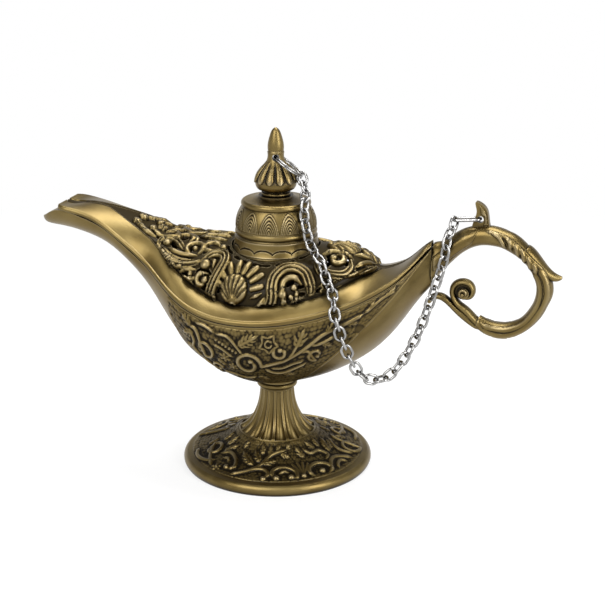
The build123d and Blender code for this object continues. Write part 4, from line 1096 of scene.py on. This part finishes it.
def floor():
    """A pale floor that is white to the eye further out, and keeps the shadow near the lamp."""
    made, tree = new_material("floor")
    path = put(tree, "LightPath")
    seen = maths(tree, "MAXIMUM", path.outputs["Is Camera Ray"], path.outputs["Is Glossy Ray"])
    seen = maths(tree, "MAXIMUM", seen, path.outputs["Is Transmission Ray"])
    where = put(tree, "TexCoord").outputs["Object"]
    away = put(tree, "VectorMath", {"operation": "LENGTH"}, i0=where).outputs["Value"]
    paint = put(tree, "BsdfDiffuse", Color=FLOOR_PAINT).outputs[0]
    glow = put(tree, "Emission", Color=WHITE, Strength=1.0).outputs[0]
    share = maths(tree, "MULTIPLY", seen, ramp(tree, away, *FLOOR_WHITE))
    blend = put(tree, "MixShader", i0=share, i1=paint, i2=glow).outputs[0]
    put(tree, "OutputMaterial", Surface=blend)
    corners = [(x * FLOOR_REACH, y * FLOOR_REACH, 0) for x, y in ((-1, -1), (1, -1), (1, 1), (-1, 1))]
    mesh = bpy.data.meshes.new("floor")
    mesh.from_pydata(corners, [], [(0, 1, 2, 3)])
    mesh.materials.append(made)
    plane = bpy.data.objects.new("floor", mesh)
    bpy.context.scene.collection.objects.link(plane)


def softbox(name, place, size, power):
    """A rectangular lamp aimed at the middle of the object."""
    lamp = bpy.data.lights.new(name, "AREA")
    lamp.shape = "RECTANGLE"
    lamp.size, lamp.size_y = size
    lamp.energy = power
    made = bpy.data.objects.new(name, lamp)
    made.location = place
    made.rotation_euler = (Vector(MIDDLE) - Vector(place)).to_track_quat("-Z", "Y").to_euler()
    bpy.context.scene.collection.objects.link(made)


def sky():
    """White round the horizon, grey overhead."""
    world = bpy.data.worlds.new("studio")
    world.use_nodes = True
    tree = world.node_tree
    tree.nodes.clear()
    way = put(tree, "TexCoord").outputs["Generated"]
    up = put(tree, "SeparateXYZ", Vector=way).outputs["Z"]
    shade = ramp(tree, up, *SKY_SHADES)
    glow = put(tree, "Background", Color=shade, Strength=1.0)
    put(tree, "OutputWorld", Surface=glow.outputs[0])
    bpy.context.scene.world = world


def camera():
    """The photograph's view."""
    data = bpy.data.cameras.new("camera")
    data.sensor_width = CAMERA_SENSOR
    data.lens = CAMERA_LENS
    made = bpy.data.objects.new("camera", data)
    right = Vector(CAMERA_RIGHT).normalized()
    up = Vector(CAMERA_UP).normalized()
    turn = Matrix((right, up, right.cross(up))).transposed()
    made.matrix_world = Matrix.Translation(Vector(CAMERA_AT) * MM) @ turn.to_4x4()
    bpy.context.scene.collection.objects.link(made)
    bpy.context.scene.camera = made


floor()
sky()
softbox("key", (-0.22, -0.74, 0.75), size=(0.7, 0.7), power=9.0)
softbox("fill", (0.75, -0.35, 0.45), size=(0.3, 0.7), power=6.0)
softbox("top", (0.05, 0.25, 0.9), size=(0.8, 0.35), power=9.0)
camera()
bpy.context.scene.view_settings.view_transform = "Standard"
